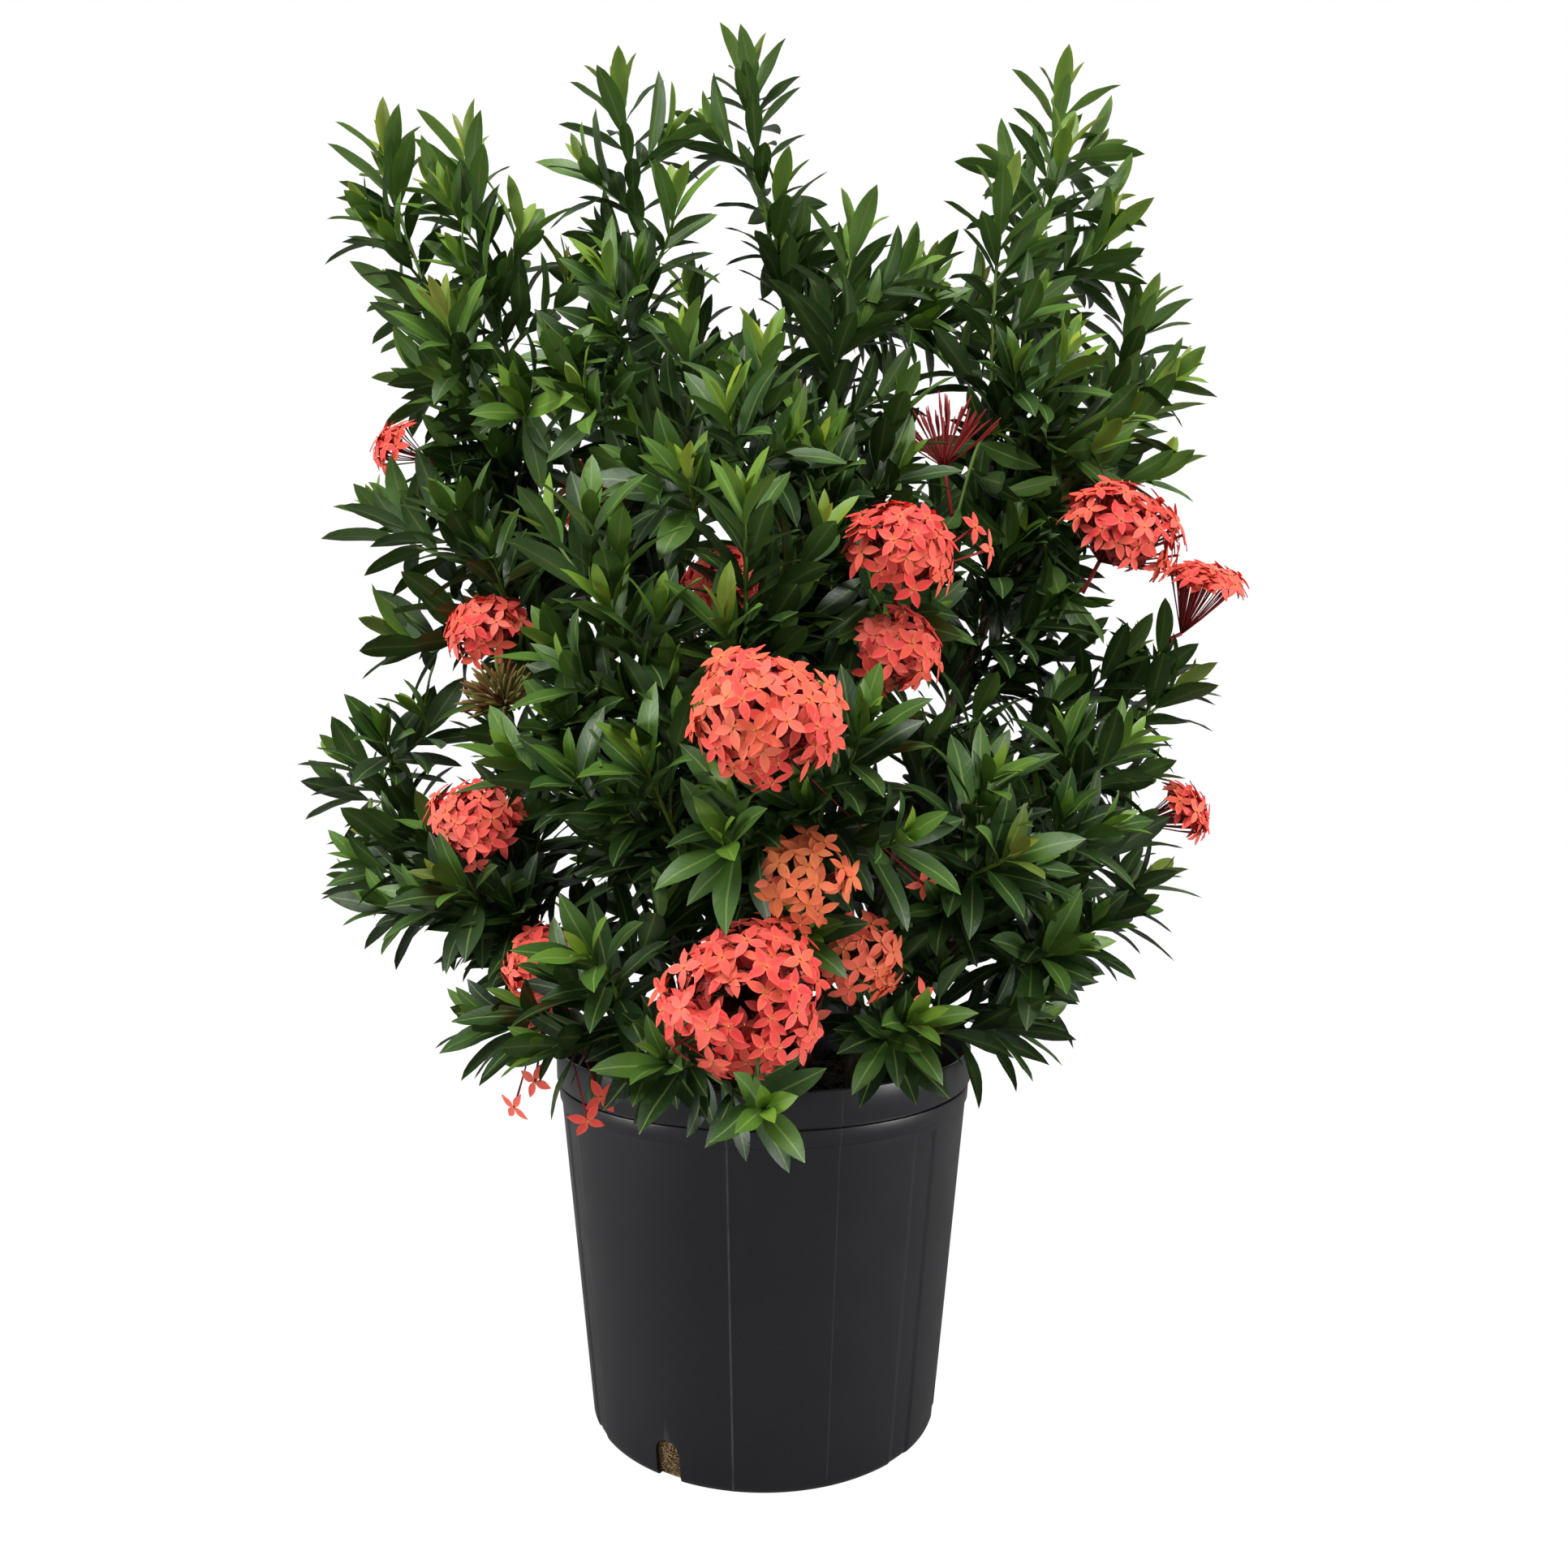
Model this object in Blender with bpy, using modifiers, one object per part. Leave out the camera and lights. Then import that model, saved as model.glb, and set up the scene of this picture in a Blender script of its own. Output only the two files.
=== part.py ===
"""A flowering ixora in its black nursery pot.

Metres, +Z up, the pot's axis on the Z axis and its underside at z = 0. The side of the plant seen in the
photograph faces -Y. Tables of places are in centimetres, each a rounded reading of where a tip or a
flower head stands in the photograph, with its depth judged from what covers what.
"""

import math
import random

import bmesh
import bpy
import numpy as np
from mathutils import Matrix, Vector
from mathutils.bvhtree import BVHTree

# Driving dimensions
CM = 0.01
MM = 0.001
SEED = 11
FIT_GAP = 0.0003

# Pot
POT_HEIGHT = 0.243
POT_FACETS = 32
RIM_RADIUS = 0.138
RIM_LOW = 0.2226
BAND_RADIUS = 0.1363
BAND_LOW = 0.2104
WALL_TOP_RADIUS = 0.1345
WALL_FOOT_RADIUS = 0.1136
FOOT_EDGE = 0.0025
WALL = 0.0026
FLOOR = 0.0035
RIM_CHAMFER = 0.0006
RIM_INNER_CHAMFER = 0.0008
RIM_LEAN = 0.0002
STEP_IN = 0.0014
STEP_TALL = 0.0015
STEP_SLOPE = 0.0005
BAND_LEAN = 0.0009
BAND_DROP = 0.0006
OVERSHOOT = 0.004
SEAM_AZIMUTH = -9.0
SEAM_WIDTH = 0.0012
SEAM_PROUD = 0.0005
SEAM_SUNK = 0.0013
SEAM_LOW = 0.0035
SEAM_HIGH = 0.2124
GROOVE_AZIMUTHS = [47.0, 115.0, -133.0, -65.0]
GROOVE_WIDTH = 0.018
GROOVE_DEPTH = 0.0009
GROOVE_TOP = 0.206
SLOT_AZIMUTHS = [-30.0, 77.0, 150.0, 257.0]
SLOT_WIDTH = 0.017
SLOT_HEIGHT = 0.025
SLOT_INNER = 0.1045
SLOT_OUTER = 0.130
SLOT_ARCH_STEPS = 5
POT_COLOUR = (0.03, 0.03, 0.035)

# Potting mix
MIX_LOW = 0.0042
MIX_TOP = 0.209
MIX_CROWN = 0.004
MIX_CLEARANCE = 0.0006
MIX_COLOUR = (0.09, 0.06, 0.04)
STEM_HOLE_DEPTH = 0.03
STEM_HOLE_CLEARANCE = 0.0004
STEM_HOLE_SIDES = 6
STEM_RISE = 0.010
STEM_FOOT_GAP = 0.001

# Stems
WOOD_FOOT_RADIUS = 0.0046
WOOD_TOP_RADIUS = 0.0028
TWIG_RADIUS = 0.0021
SHOOT_RADIUS = 0.0016
SHOOT_TIP_RADIUS = 0.0012
STALK_RADIUS = 0.0013
CLEARANCE = 0.0012
FUSE_TRIES = 6
SAMPLE_STEP = 0.002
PATH_TRIES = 70
PATH_BEND = 0.9
PATH_REACH = 0.36
RIM_KEEP_OUT_FROM = 0.126
RIM_KEEP_OUT_TO = 0.145
RIM_KEEP_OUT_HEIGHT = 0.249
RIM_KEEP_OUT_DEPTH = 0.004
LEAD_IN = 0.0065
TWIG_FLARE = 1.15
TWIG_SHARE = 0.42
TWIG_AIM = 0.06
TWIG_LIFT = 0.25
FORK_SAG = 0.006
FORK_ABOVE_RIM = 0.020
SIDE_SHARE = 0.9
STEM_BROWN = (0.16, 0.11, 0.07)

# Where a side branch leaves its stem, and how steeply a tip stands by its height
BRANCH_FROM = 0.12
BRANCH_TO = 0.80
BRANCH_BELOW_TIP = 0.05
DOWNHILL_COST = 3.0
LOWEST_FORK = 0.025
LOW_FORK_COST = 50.0
TIP_RISE_RANGE = (8.0, 80.0)
TIP_RISE_START = 22.0
TIP_RISE_HEIGHT = 0.3
TIP_RISE_PER_METRE = 115.0

# Leaves
LEAF_LENGTH = 0.047
LEAF_SLENDERNESS = 0.165
LEAF_SUNK = 0.0011
LEAF_KEEL = 0.0015
LEAF_CLEARANCE = 0.0005
PAIR_PLACES = [0.005, 0.026]
PAIR_LENGTHS = [0.92, 1.0]
PAIR_ANGLES = [44.0, 64.0]
LEAF_TRIES = 14
LEAF_LOOSE = 0.12
LEAF_LOOSER = 0.09
LEAF_SHRINK = 0.02
LIGHT_PULL = (0.0, -0.1, 0.55)
SHOOT_GREEN = (0.09, 0.22, 0.05)

# Flowers
FLORET_RADIUS = 0.0115
FLORET_DIP = 0.22
CORE_SHARE = 0.62
CORE_BEHIND = 0.12
ROOT_SHARE = 0.2
STALK_LEAD = 0.003
FOOT_BEHIND_HEAD = 0.006
STARS_CAP = 112.0
STARS_BASE_COUNT = 3
STARS_PER_CM = 1.7
SPIKE_COUNT = 11
SPIKE_CAPS = {"needles": 58.0, "spent": 80.0}
SPIKE_REACHES = {"needles": (1.45, 1.85), "spent": (0.9, 1.2)}
SPIKE_WIDEST = 0.8
NEEDLE_RADIUS = 0.0011
KNOT_RADIUS = 0.0042
KNOT_BEHIND = 0.85
GOLDEN_ANGLE = 2.39996
BLOOM_COLOURS = {"stars": (0.85, 0.16, 0.07), "needles": (0.45, 0.05, 0.05), "spent": (0.25, 0.17, 0.06)}

WOOD = {
    "left": ((-5, 0), (-16, 0, 60)),
    "centre_left": ((-2, 4), (-7, 2, 66)),
    "centre": ((1, 0), (2, -5, 56)),
    "centre_right": ((3, 5), (6, 7, 66)),
    "right": ((6, 1), (18, 1, 60)),
    "front": ((-1, -5), (-1, -13, 41)),
    "left_low": ((-6, -4), (-15, -7, 34)),
    "right_low": ((6, -4), (13, -9, 34)),
    "back": ((1, 8), (1, 13, 50)),
}

# name of the shoot, the stem it leaves, the places its leafy tips reach
SHOOTS = {
    "far_left": ("left", [(-26, 2, 85), (-20, -5, 71), (-24, 3, 70)]),
    "left_tall": ("left", [(-20, 0, 84), (-16, -2, 78), (-13, -1, 75), (-15, -7, 65)]),
    "left_shoulder": ("left", [(-19, -8, 58), (-25, -2, 59), (-23, -5, 51)]),
    "left_crown": ("centre_left", [(-10, 3, 89), (-6, -1, 80), (-10, -4, 74), (-11, -8, 65)]),
    "mid_left": ("centre_left", [(-5, -6, 69), (-4, -17, 58)]),
    "mid_high": ("centre", [(6, -2, 77), (4, 0, 73)]),
    "mid_front": ("centre", [(0, -12, 66), (-2, -16, 62)]),
    "mid_right": ("centre", [(8, -9, 64), (3, -13, 60)]),
    "mid_tall": ("centre_right", [(-1, 6, 92), (1, 4, 83), (12, 8, 79), (16, 10, 78)]),
    "right_crown": ("right", [(16, -1, 80), (19, -5, 68), (21, -5, 63)]),
    "right_tall": ("right", [(21, 5, 90), (20, 0, 84), (24, 3, 80)]),
    "right_outer": ("right", [(27, 5, 75), (27, 3, 68), (27, 2, 63)]),
    "right_far": ("right", [(28, 0, 48), (25, 0, 42)]),
    "front_left": ("front", [(-8, -19, 51), (-12, -14, 56), (-11, -17, 49)]),
    "front_mid": ("front", [(-1, -20, 56), (-2, -20, 50), (3, -18, 55)]),
    "front_centre_left": ("front", [(-6, -22, 43), (-13, -18, 43), (-5, -18, 47)]),
    "front_centre": ("front", [(5, -20, 45), (7, -20, 39), (-2, -22, 39)]),
    "left_far": ("left_low", [(-28, 0, 43), (-22, -4, 46)]),
    "left_arm": ("left_low", [(-25, -3, 38), (-27, 0, 35), (-18, -12, 36)]),
    "front_low_left": ("left_low", [(-9, -20, 33), (-12, -14, 27), (-17, -8, 27), (0, -23, 26)]),
    "front_right": ("right_low", [(12, -17, 42), (13, -18, 38)]),
    "right_front": ("right_low", [(22, -8, 44), (20, -10, 39)]),
    "right_low": ("right_low", [(26, 0, 35), (17, -12, 32)]),
    "rim_right": ("right_low", [(8, -17, 29), (16, -8, 27)]),
    "back_high": ("centre_right", [(-6, 14, 80), (6, 16, 72)]),
    "back_left": ("back", [(-16, 13, 70), (-21, 11, 59)]),
    "back_right": ("back", [(15, 15, 66), (21, 12, 56)]),
    "back_mid": ("back", [(2, 21, 62), (-7, 22, 50)]),
    "back_low_left": ("back", [(-20, 14, 44), (-11, 19, 34)]),
    "back_low_right": ("back", [(22, 11, 42), (9, 20, 34)]),
}

# name of the flower head, its kind, the shoot that bears it, its centre, the way it faces, its radius
BLOOMS = {
    "flower_head_centre": ("stars", "front_centre", (0, -24, 45), (0.0, -0.9, 0.35), 3.6),
    "flower_head_bottom": ("stars", "front_centre", (-1, -21, 31), (0.0, -0.95, 0.2), 3.8),
    "flower_head_upper_right": ("stars", "mid_right", (8, -17, 54), (0.2, -0.7, 0.7), 3.1),
    "flower_head_shaded": ("stars", "mid_right", (7, -13, 48), (0.4, -0.9, 0.1), 2.2),
    "flower_head_right_globe": ("stars", "right_crown", (22, -6, 57), (0.5, -0.4, 0.8), 3.3),
    "flower_head_right_spray": ("stars", "right_far", (30, 0, 53), (0.8, -0.1, 0.6), 2.7),
    "flower_head_left_small": ("stars", "left_shoulder", (-17, -7, 51), (-0.4, -0.7, 0.6), 2.4),
    "flower_head_left_low": ("stars", "left_arm", (-17, -10, 41), (-0.5, -0.7, 0.5), 3.3),
    "flower_head_orange": ("stars", "front_centre", (2, -20, 37), (0.2, -0.9, 0.3), 2.3),
    "flower_head_right_side": ("stars", "right_low", (28, 2, 39), (0.95, -0.2, 0.1), 2.3),
    "flower_head_low_left": ("stars", "front_low_left", (-13, -11, 31), (-0.4, -0.8, 0.2), 2.0),
    "flower_head_low_right": ("stars", "rim_right", (5, -15, 32), (0.3, -0.9, 0.1), 2.4),
    "flower_head_far_left": ("stars", "far_left", (-24, 0, 64), (-0.9, -0.2, 0.4), 1.8),
    "flower_head_tucked": ("stars", "mid_front", (-2, -13, 53), (0.0, -0.7, 0.7), 2.1),
    "bud_cluster_right": ("needles", "right_crown", (12, -5, 62), (0.0, -0.1, 1.0), 2.6),
    "bud_cluster_left": ("needles", "mid_left", (-10, -3, 60), (-0.2, -0.3, 0.9), 2.4),
    "spent_head": ("spent", "front_left", (-15, -14, 48), (-0.2, -0.4, 0.9), 2.4),
    "flower_head_back_left": ("stars", "back_left", (-13, 18, 62), (-0.3, 0.7, 0.6), 3.2),
    "flower_head_back_right": ("stars", "back_right", (13, 20, 55), (0.3, 0.8, 0.5), 3.2),
}


# Start from an empty scene
for old in list(bpy.data.objects):
    bpy.data.objects.remove(old)

part_collection = bpy.data.collections.new("ixora")
bpy.context.scene.collection.children.link(part_collection)
cutter_collection = bpy.data.collections.new("cutters")
cutter_collection.hide_render = True
bpy.context.scene.collection.children.link(cutter_collection)
rng = random.Random(SEED)


def material_for(name, colour, roughness):
    """A plain surface of one colour for one object."""
    material = bpy.data.materials.new(name + "_finish")
    material.use_nodes = True
    shader = material.node_tree.nodes["Principled BSDF"]
    shader.inputs["Base Color"].default_value = (*colour, 1.0)
    shader.inputs["Roughness"].default_value = roughness
    shader.inputs["Metallic"].default_value = 0.0
    return material


def object_from(name, vertices, faces, collection, edges=()):
    """A mesh object made of the given vertices and faces, or of edges alone."""
    mesh = bpy.data.meshes.new(name)
    mesh.from_pydata([tuple(v) for v in vertices], list(edges), faces)
    mesh.update()
    thing = bpy.data.objects.new(name, mesh)
    collection.objects.link(thing)
    return thing


def apply_modifiers(thing):
    """Replace the mesh by what its modifiers make of it."""
    depsgraph = bpy.context.evaluated_depsgraph_get()
    mesh = bpy.data.meshes.new_from_object(thing.evaluated_get(depsgraph))
    thing.modifiers.clear()
    thing.data = mesh


def clean(thing, distance):
    """Weld near points and triangulate."""
    work = bmesh.new()
    work.from_mesh(thing.data)
    bmesh.ops.remove_doubles(work, verts=work.verts, dist=distance)
    bmesh.ops.triangulate(work, faces=work.faces)
    work.to_mesh(thing.data)
    work.free()


# Pot: a turned shell with a rim, a band, grooves, a seam and drainage slots
def turned(name, profile, steps, collection):
    """A profile of (radius, height) points turned about the Z axis."""
    points = [(radius, 0.0, height) for radius, height in profile]
    edges = [(i, i + 1) for i in range(len(points) - 1)]
    thing = object_from(name, points, [], collection, edges)
    screw = thing.modifiers.new("turn", "SCREW")
    screw.steps = steps
    screw.render_steps = steps
    screw.use_merge_vertices = True
    screw.merge_threshold = 0.0001
    screw.use_normal_calculate = True
    apply_modifiers(thing)
    return thing


def face_outward(thing):
    """Turn every face of a closed mesh outward."""
    work = bmesh.new()
    work.from_mesh(thing.data)
    bmesh.ops.remove_doubles(work, verts=work.verts, dist=0.00002)
    bmesh.ops.recalc_face_normals(work, faces=work.faces)
    if work.calc_volume(signed=True) < 0.0:
        bmesh.ops.reverse_faces(work, faces=work.faces)
    work.to_mesh(thing.data)
    work.free()


wall_slope = (WALL_TOP_RADIUS - WALL_FOOT_RADIUS) / BAND_LOW
inner_top = WALL_TOP_RADIUS - WALL
inner_foot = WALL_FOOT_RADIUS - WALL
pot_profile = [
    (0.0, FLOOR),
    (inner_foot + wall_slope * FLOOR, FLOOR),
    (inner_top, BAND_LOW),
    (RIM_RADIUS - WALL - RIM_INNER_CHAMFER, POT_HEIGHT - RIM_CHAMFER),
    (RIM_RADIUS - WALL, POT_HEIGHT),
    (RIM_RADIUS - RIM_CHAMFER, POT_HEIGHT),
    (RIM_RADIUS, POT_HEIGHT - RIM_CHAMFER),
    (RIM_RADIUS - RIM_LEAN, RIM_LOW),
    (BAND_RADIUS - STEP_IN, RIM_LOW - STEP_SLOPE),
    (BAND_RADIUS - STEP_IN, RIM_LOW - STEP_SLOPE - STEP_TALL),
    (BAND_RADIUS, RIM_LOW - STEP_SLOPE - STEP_TALL - RIM_LEAN),
    (BAND_RADIUS - BAND_LEAN, BAND_LOW),
    (WALL_TOP_RADIUS, BAND_LOW - BAND_DROP),
    (WALL_FOOT_RADIUS + wall_slope * FOOT_EDGE, FOOT_EDGE),
    (WALL_FOOT_RADIUS - FOOT_EDGE, 0.0),
    (0.0, 0.0),
]
pot = turned("pot", pot_profile, POT_FACETS, part_collection)
face_outward(pot)


def wall_radius(height):
    """Outer radius of the plain wall at a height."""
    return WALL_FOOT_RADIUS + wall_slope * height


def wall_box(name, azimuth, width, low, high, inner, outer):
    """A box that follows the leaning wall at an azimuth, from inner to outer measured off the wall."""
    half = width / 2
    corners = []
    for height in (low, high):
        for off in (inner, outer):
            for side in (-half, half):
                corners.append((side, -(wall_radius(height) + off), height))
    faces = [(0, 1, 3, 2), (4, 6, 7, 5), (0, 4, 5, 1), (2, 3, 7, 6), (0, 2, 6, 4), (1, 5, 7, 3)]
    box = object_from(name, corners, faces, cutter_collection)
    box.data.transform(Matrix.Rotation(math.radians(azimuth), 4, "Z"))
    face_outward(box)
    return box


def slot_block(name, azimuth):
    """The space of one drainage slot: an upside-down U seen from outside, open at the underside."""
    half = SLOT_WIDTH / 2
    outline = [(-half, -OVERSHOOT), (half, -OVERSHOOT), (half, SLOT_HEIGHT - half)]
    for step in range(1, SLOT_ARCH_STEPS):
        angle = math.pi * step / SLOT_ARCH_STEPS
        outline.append((half * math.cos(angle), SLOT_HEIGHT - half + half * math.sin(angle)))
    outline.append((-half, SLOT_HEIGHT - half))
    count = len(outline)
    near = [(x, -SLOT_OUTER, z) for x, z in outline]
    far = [(x, -SLOT_INNER, z) for x, z in outline]
    faces = [tuple(range(count)), tuple(reversed(range(count, 2 * count)))]
    for i in range(count):
        j = (i + 1) % count
        faces.append((i, i + count, j + count, j))
    block = object_from(name, near + far, faces, cutter_collection)
    block.data.transform(Matrix.Rotation(math.radians(azimuth), 4, "Z"))
    face_outward(block)
    return block


def boolean(thing, tool, operation):
    """Cut or join one object with another and apply it."""
    step = thing.modifiers.new("step", "BOOLEAN")
    step.operation = operation
    step.object = tool
    step.solver = "EXACT"
    apply_modifiers(thing)
    bpy.data.objects.remove(tool)


for azimuth in GROOVE_AZIMUTHS:
    groove = wall_box("groove", azimuth, GROOVE_WIDTH, -OVERSHOOT, GROOVE_TOP, -GROOVE_DEPTH, OVERSHOOT)
    boolean(pot, groove, "DIFFERENCE")
for azimuth in SLOT_AZIMUTHS:
    boolean(pot, slot_block("slot", azimuth), "DIFFERENCE")
for azimuth in (SEAM_AZIMUTH, SEAM_AZIMUTH + 180.0):
    seam = wall_box("seam", azimuth, SEAM_WIDTH, SEAM_LOW, SEAM_HIGH, -SEAM_SUNK, SEAM_PROUD)
    boolean(pot, seam, "UNION")
clean(pot, 0.00002)
pot.data.materials.clear()
pot.data.materials.append(material_for("pot", POT_COLOUR, 0.4))

# Potting mix: a plug that fills the pot, with a plain hole for the foot of each woody stem
mix_profile = [
    (0.0, MIX_TOP),
    (wall_radius(MIX_TOP) - WALL - MIX_CLEARANCE, MIX_TOP - MIX_CROWN),
    (wall_radius(MIX_LOW) - WALL - MIX_CLEARANCE, MIX_LOW),
    (0.0, MIX_LOW),
]
potting_mix = turned("potting_mix", mix_profile, POT_FACETS, part_collection)
face_outward(potting_mix)

for name, (foot, top) in WOOD.items():
    work = bmesh.new()
    hole_radius = (WOOD_FOOT_RADIUS + STEM_HOLE_CLEARANCE) / math.cos(math.pi / STEM_HOLE_SIDES)
    place = Matrix.Translation(Vector((foot[0] * CM, foot[1] * CM, MIX_TOP)))
    bmesh.ops.create_cone(work, cap_ends=True, segments=STEM_HOLE_SIDES, radius1=hole_radius,
                          radius2=hole_radius, depth=2 * STEM_HOLE_DEPTH, matrix=place)
    mesh = bpy.data.meshes.new("hole")
    work.to_mesh(mesh)
    work.free()
    hole = bpy.data.objects.new("hole", mesh)
    cutter_collection.objects.link(hole)
    boolean(potting_mix, hole, "DIFFERENCE")
clean(potting_mix, 0.00002)
potting_mix.data.materials.clear()
potting_mix.data.materials.append(material_for("potting_mix", MIX_COLOUR, 0.95))


# Layout of every stem: paths are arrays of points, sampled closely to keep them apart
taken_points = np.zeros((0, 3))
taken_radii = np.zeros(0)
taken_nodes = []
bloom_balls = {}


def unit(vector):
    """The vector at length one."""
    return np.asarray(vector, float) / max(float(np.linalg.norm(vector)), 1e-9)


def bezier(start, leave, arrive, end, count):
    """The curve from start to end that sets out along leave and comes in along arrive."""
    reach = np.linalg.norm(end - start) * PATH_REACH
    t = np.linspace(0.0, 1.0, count)[:, None]
    first = start + unit(leave) * reach
    second = end - unit(arrive) * reach
    return (1 - t) ** 3 * start + 3 * (1 - t) ** 2 * t * first + 3 * (1 - t) * t ** 2 * second + t ** 3 * end


def sampled(path):
    """Points close together along the straight pieces of a path."""
    out = []
    for a, b in zip(path[:-1], path[1:]):
        count = max(2, int(np.linalg.norm(b - a) / SAMPLE_STEP) + 1)
        out.append(a + (b - a) * np.linspace(0.0, 1.0, count)[:, None])
    return np.concatenate(out)


def shortfall(path, radius, node, own_bloom):
    """How far the path sinks into what stands already, zero when it is clear of all of it."""
    points = sampled(path)
    worst = 0.0
    other = np.array([name != node for name in taken_nodes], bool)
    if other.any():
        gaps = np.linalg.norm(points[:, None] - taken_points[other][None], axis=2)
        gaps = gaps - taken_radii[other][None] - radius - CLEARANCE
        worst = max(worst, -float(gaps.min()))
    for name, (centre, size) in bloom_balls.items():
        if name != own_bloom:
            gap = float(np.linalg.norm(points - centre, axis=1).min()) - size - radius - CLEARANCE
            worst = max(worst, -gap)
    across = np.hypot(points[:, 0], points[:, 1])
    by_rim = (across > RIM_KEEP_OUT_FROM) & (across < RIM_KEEP_OUT_TO) & (points[:, 2] < RIM_KEEP_OUT_HEIGHT)
    if by_rim.any():
        worst = max(worst, RIM_KEEP_OUT_DEPTH)
    return worst


def settle(start, leave, arrive, end, count, radius, node, own_bloom=None):
    """The first curve between two points that is clear of the rest, bent further at each try."""
    best = None
    for attempt in range(PATH_TRIES):
        bend = PATH_BEND * attempt / PATH_TRIES
        shift = np.array([rng.uniform(-1, 1) for _ in range(6)])
        path = bezier(start, unit(leave) + bend * shift[:3], unit(arrive) + bend * shift[3:], end, count)
        depth = shortfall(path, radius, node, own_bloom)
        if best is None or depth < best[0]:
            best = (depth, path)
        if depth <= 0.0:
            break
    if best[0] > 0.0:
        print("crowded path", node, round(best[0] / MM, 1))
    return best[1]


def claim(path, radius, node):
    """Note a path as taken."""
    global taken_points, taken_radii
    points = sampled(path)
    taken_points = np.concatenate([taken_points, points])
    taken_radii = np.concatenate([taken_radii, np.full(len(points), radius)])
    taken_nodes.extend([node] * len(points))


def tip_direction(tip):
    """Upright shoots at the top of the plant, more level ones lower down and further out."""
    least, most = TIP_RISE_RANGE
    rise = TIP_RISE_START + (tip[2] - TIP_RISE_HEIGHT) * TIP_RISE_PER_METRE
    rise = math.radians(min(most, max(least, rise)))
    level = unit((tip[0], tip[1], 0.0))
    return level * math.cos(rise) + np.array((0.0, 0.0, math.sin(rise)))


def nearest_start(path, tip):
    """The point of a path that a side branch to the tip leaves from, and the path's direction there."""
    points = sampled(path)
    low = int(len(points) * BRANCH_FROM)
    high = max(low + 1, int(len(points) * BRANCH_TO))
    span = points[low:high]
    downhill = np.maximum(0.0, span[:, 2] + BRANCH_BELOW_TIP - tip[2])
    cost = np.linalg.norm(span - tip, axis=1) + DOWNHILL_COST * downhill
    cost = cost + LOW_FORK_COST * np.maximum(0.0, MIX_TOP + LOWEST_FORK - span[:, 2])
    pick = low + int(cost.argmin())
    ahead = points[min(pick + 3, len(points) - 1)] - points[max(pick - 3, 0)]
    return points[pick], unit(ahead)


for name, (kind, shoot, centre, facing, radius) in BLOOMS.items():
    bloom_balls[name] = (np.array(centre) * CM, radius * CM)

wood_paths = {}
wood_tubes = {}
for name, (foot, top) in WOOD.items():
    start = np.array((foot[0] * CM, foot[1] * CM, MIX_TOP - STEM_HOLE_DEPTH + STEM_FOOT_GAP))
    rise = start + np.array((0.0, 0.0, STEM_HOLE_DEPTH + STEM_RISE))
    end = np.array(top) * CM
    lean = unit(end - rise)
    node = "woody_stem_" + name
    path = settle(rise, (0.0, 0.0, 1.0), lean, end, 5, WOOD_FOOT_RADIUS, node)
    path = np.concatenate([start[None], path])
    claim(path, WOOD_FOOT_RADIUS, node)
    wood_paths[name] = path
    wood_tubes[node] = [(path, WOOD_FOOT_RADIUS, WOOD_TOP_RADIUS)]

shoot_tubes = {}
leafy_ends = {}
bloom_feet = {}
forks = {}
for name, (stem, tips) in SHOOTS.items():
    wood_node = "woody_stem_" + stem
    tip = np.array(tips[0]) * CM
    wood = wood_paths[stem]
    away, along = nearest_start(wood, tip - np.array((0.0, 0.0, TWIG_AIM)))
    fork = away + (tip - away) * TWIG_SHARE
    fork[2] = max(fork[2] - FORK_SAG, POT_HEIGHT + FORK_ABOVE_RIM)
    heading = unit(unit(tip - away) + np.array((0.0, 0.0, TWIG_LIFT)))
    twig = settle(away, unit(along + heading), heading, fork, 3, TWIG_RADIUS, wood_node)
    claim(twig, TWIG_RADIUS, wood_node)
    wood_tubes[wood_node].append((twig, TWIG_RADIUS * TWIG_FLARE, TWIG_RADIUS))
    forks[name] = (fork, unit(twig[-1] - twig[-2]))

for name, (stem, tips) in SHOOTS.items():
    node = "leafy_shoot_" + name
    fork, heading = forks[name]
    first = fork + heading * FIT_GAP
    tip = np.array(tips[0]) * CM
    lead = settle(first + heading * LEAD_IN, heading, tip_direction(tip), tip, 4, SHOOT_RADIUS, node)
    lead = np.concatenate([first[None], lead])
    claim(lead[1:], SHOOT_RADIUS, node)
    shoot_tubes[node] = [(lead, SHOOT_RADIUS, SHOOT_TIP_RADIUS)]
    leafy_ends[node] = [lead]
    for place in tips[1:]:
        tip = np.array(place) * CM
        away, along = nearest_start(lead, tip)
        side = settle(away, unit(along + unit(tip - away)), tip_direction(tip), tip, 3, SHOOT_RADIUS, node)
        claim(side, SHOOT_RADIUS, node)
        shoot_tubes[node].append((side, SHOOT_RADIUS * SIDE_SHARE, SHOOT_TIP_RADIUS))
        leafy_ends[node].append(side)

for bloom, (kind, shoot, centre, facing, radius) in BLOOMS.items():
    node = "leafy_shoot_" + shoot
    facing = unit(facing)
    foot = np.array(centre) * CM - facing * (radius * CM + FOOT_BEHIND_HEAD)
    lead = leafy_ends[node][0]
    away, along = nearest_start(lead, foot)
    side = settle(away, unit(along + unit(foot - away)), facing, foot, 3, SHOOT_RADIUS, node, bloom)
    claim(side, SHOOT_RADIUS, node)
    shoot_tubes[node].append((side, SHOOT_RADIUS * SIDE_SHARE, SHOOT_TIP_RADIUS))
    bloom_feet[bloom] = (foot, unit(side[-1] - side[-2]))


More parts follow.
